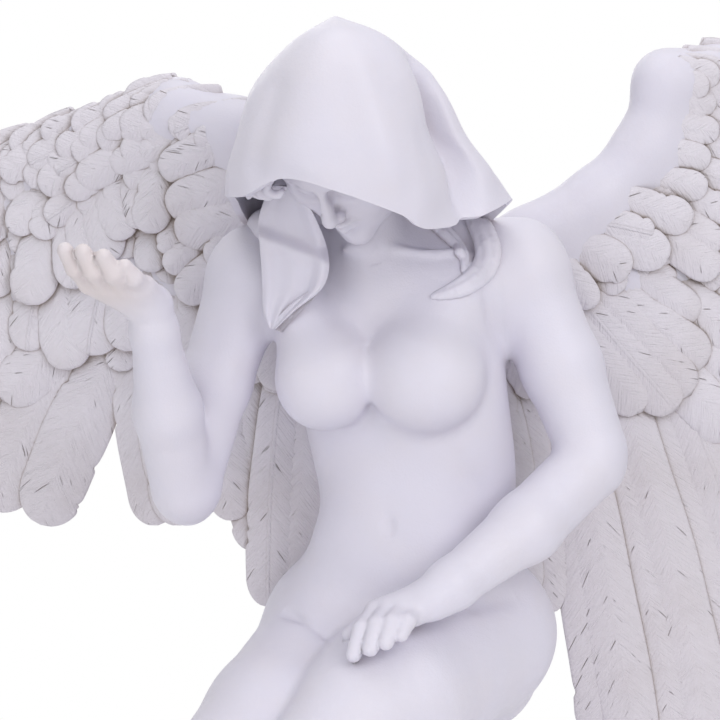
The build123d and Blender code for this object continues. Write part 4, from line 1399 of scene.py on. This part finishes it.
def rock_surface(points):
    """The distance to the boulder with its flat breaks, and to the ground it stands on."""
    boulder = mass_distance(rock_lumps, points)
    for direction, share in ROCK_CUTS:
        reach = np.linalg.norm(direction * (50.0, 42.0, 66.0))
        boulder = -run_together(-boulder, -((points - ROCK_MIDDLE) @ direction - reach * share), 0.5)
    boulder = boulder + 1.8 * np.abs(ripple(points, 30.0, 3)) + 0.7 * np.abs(ripple(points, 9.0, 4)) - 0.6
    seat = points[:, 2] - 99.0 + 0.6 * ripple(points, 20.0, 8)
    boulder = -run_together(-boulder, -seat, 2.0)
    rise = points[:, 2] - ROCK_FOOT
    ground = points[:, 2] - GROUND_TOP + 0.5 * ripple(points, 30.0, 9) + 0.3 * np.abs(ripple(points, 8.0, 10))
    for i in range(GROUND_SIDES):
        turn = 2 * math.pi * (i + 0.5) / GROUND_SIDES
        reach = 1.0 / math.hypot(math.cos(turn) / 78.0, math.sin(turn) / 70.0)
        side = points[:, 0] * math.cos(turn) + points[:, 1] * math.sin(turn) - reach + 0.42 * rise
        ground = -run_together(-ground, -(side * 0.92), 1.6)
    ground = ground + 0.25 * ripple(points, 12.0, 12)
    stone = run_together(boulder, ground, 2.5)
    return -run_together(-stone, rise, 0.4)


rock_rough = rock_lumps + [(egg((0, 0, 6), (74, 66, 6)), 0)]


def rock_resin(name):
    """The same white resin, pitted and cracked, with wash settled in the pits and cracks, and painted shade
    where the rock is closed in.
    """
    material = paint(name, RESIN_WHITE, 0.66)
    tree = material.node_tree
    shader = tree.nodes["Principled BSDF"]
    place = tree.nodes.new("ShaderNodeTexCoord").outputs["Object"]
    pits = noise_at(tree, place, 260.0, 6.0)
    grain = noise_at(tree, place, 1500.0, 3.0)
    blotch = noise_at(tree, place, 45.0, 4.0)
    cracks = tree.nodes.new("ShaderNodeTexVoronoi")
    cracks.feature = "DISTANCE_TO_EDGE"
    cracks.inputs["Scale"].default_value = 34.0
    warped = tree.nodes.new("ShaderNodeVectorMath")
    warped.operation = "MULTIPLY_ADD"
    wander = tree.nodes.new("ShaderNodeTexNoise")
    wander.inputs["Scale"].default_value = 90.0
    tree.links.new(place, wander.inputs["Vector"])
    tree.links.new(wander.outputs["Color"], warped.inputs[0])
    warped.inputs[1].default_value = (0.010, 0.010, 0.010)
    tree.links.new(place, warped.inputs[2])
    tree.links.new(warped.outputs[0], cracks.inputs["Vector"])
    crack = ramp_between(tree, cracks.outputs["Distance"], 0.0, 0.03, 1.0, 0.0)
    crack = math_node(tree, "MULTIPLY", crack, ramp_between(tree, blotch, 0.52, 0.62))
    height = math_node(tree, "ADD", math_node(tree, "MULTIPLY", pits, 1.1),
                       math_node(tree, "MULTIPLY", grain, 0.2))
    height = math_node(tree, "ADD", height, math_node(tree, "MULTIPLY", crack, -0.6))
    bump = tree.nodes.new("ShaderNodeBump")
    bump.inputs["Distance"].default_value = MM
    tree.links.new(height, bump.inputs["Height"])
    tree.links.new(bump.outputs["Normal"], shader.inputs["Normal"])
    hollow = tree.nodes.new("ShaderNodeAmbientOcclusion")
    hollow.inputs["Distance"].default_value = 7.0 * MM
    hollow.samples = 6
    # Partly the wash, partly painted shade: the ambient occlusion browns the rock where it is closed in, in
    # hollows and under the figure.
    wash_and_painted_shade = math_node(tree, "MULTIPLY", ramp_between(tree, hollow.outputs["AO"], 0.35, 0.95, 1.0, 0.0), 0.7)
    wash_and_painted_shade = math_node(tree, "MAXIMUM", wash_and_painted_shade, math_node(tree, "MULTIPLY", crack, 0.7))
    wash_and_painted_shade = math_node(tree, "MAXIMUM", wash_and_painted_shade, ramp_between(tree, pits, 0.44, 0.28, 0.0, 0.4))
    tree.links.new(mixed(tree, wash_and_painted_shade, RESIN_WHITE, WASH_AND_SHADE_BROWN), shader.inputs["Base Color"])
    return material


ROCK_VOXEL = 1.5
rock_mesh = modelled("rock", rock_surface, [lump for lump, _ in rock_rough], ROCK_VOXEL, rounds=30)
show("rock_seat", rock_mesh, rock_resin("rock_resin"), "rock_resin", "rock_base")

# ---------------------------------------------------------------- the felt and the pins
# A sheet of dark felt 1 mm thick is glued under the ground, and 3 mm steel pins hold the castings together
# inside.
felt = paint("felt", (0.045, 0.05, 0.048), 0.95)
felt_tree = felt.node_tree
felt_place = felt_tree.nodes.new("ShaderNodeTexCoord").outputs["Object"]
fibres = noise_at(felt_tree, felt_place, 2600.0, 4.0)
felt_bump = felt_tree.nodes.new("ShaderNodeBump")
felt_bump.inputs["Distance"].default_value = 0.4 * MM
felt_tree.links.new(fibres, felt_bump.inputs["Height"])
felt_tree.links.new(felt_bump.outputs["Normal"], felt_tree.nodes["Principled BSDF"].inputs["Normal"])
felt_tree.links.new(mixed(felt_tree, fibres, (0.03, 0.034, 0.033), (0.085, 0.09, 0.088)),
                    felt_tree.nodes["Principled BSDF"].inputs["Base Color"])
felt_tree.nodes["Principled BSDF"].inputs["Sheen Weight"].default_value = 0.4
steel = paint("dowel_steel", (0.55, 0.55, 0.56), 0.38)
steel.node_tree.nodes["Principled BSDF"].inputs["Metallic"].default_value = 1.0
steel_place = steel.node_tree.nodes.new("ShaderNodeTexCoord").outputs["Object"]
scuffs = noise_at(steel.node_tree, steel_place, 900.0, 4.0)
steel.node_tree.links.new(ramp_between(steel.node_tree, scuffs, 0.3, 0.7, 0.28, 0.5),
                          steel.node_tree.nodes["Principled BSDF"].inputs["Roughness"])
for name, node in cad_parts.items():
    if name == "felt_pad" or "dowel" in name:
        for holder in node.material_slots:
            holder.material = felt if name == "felt_pad" else steel
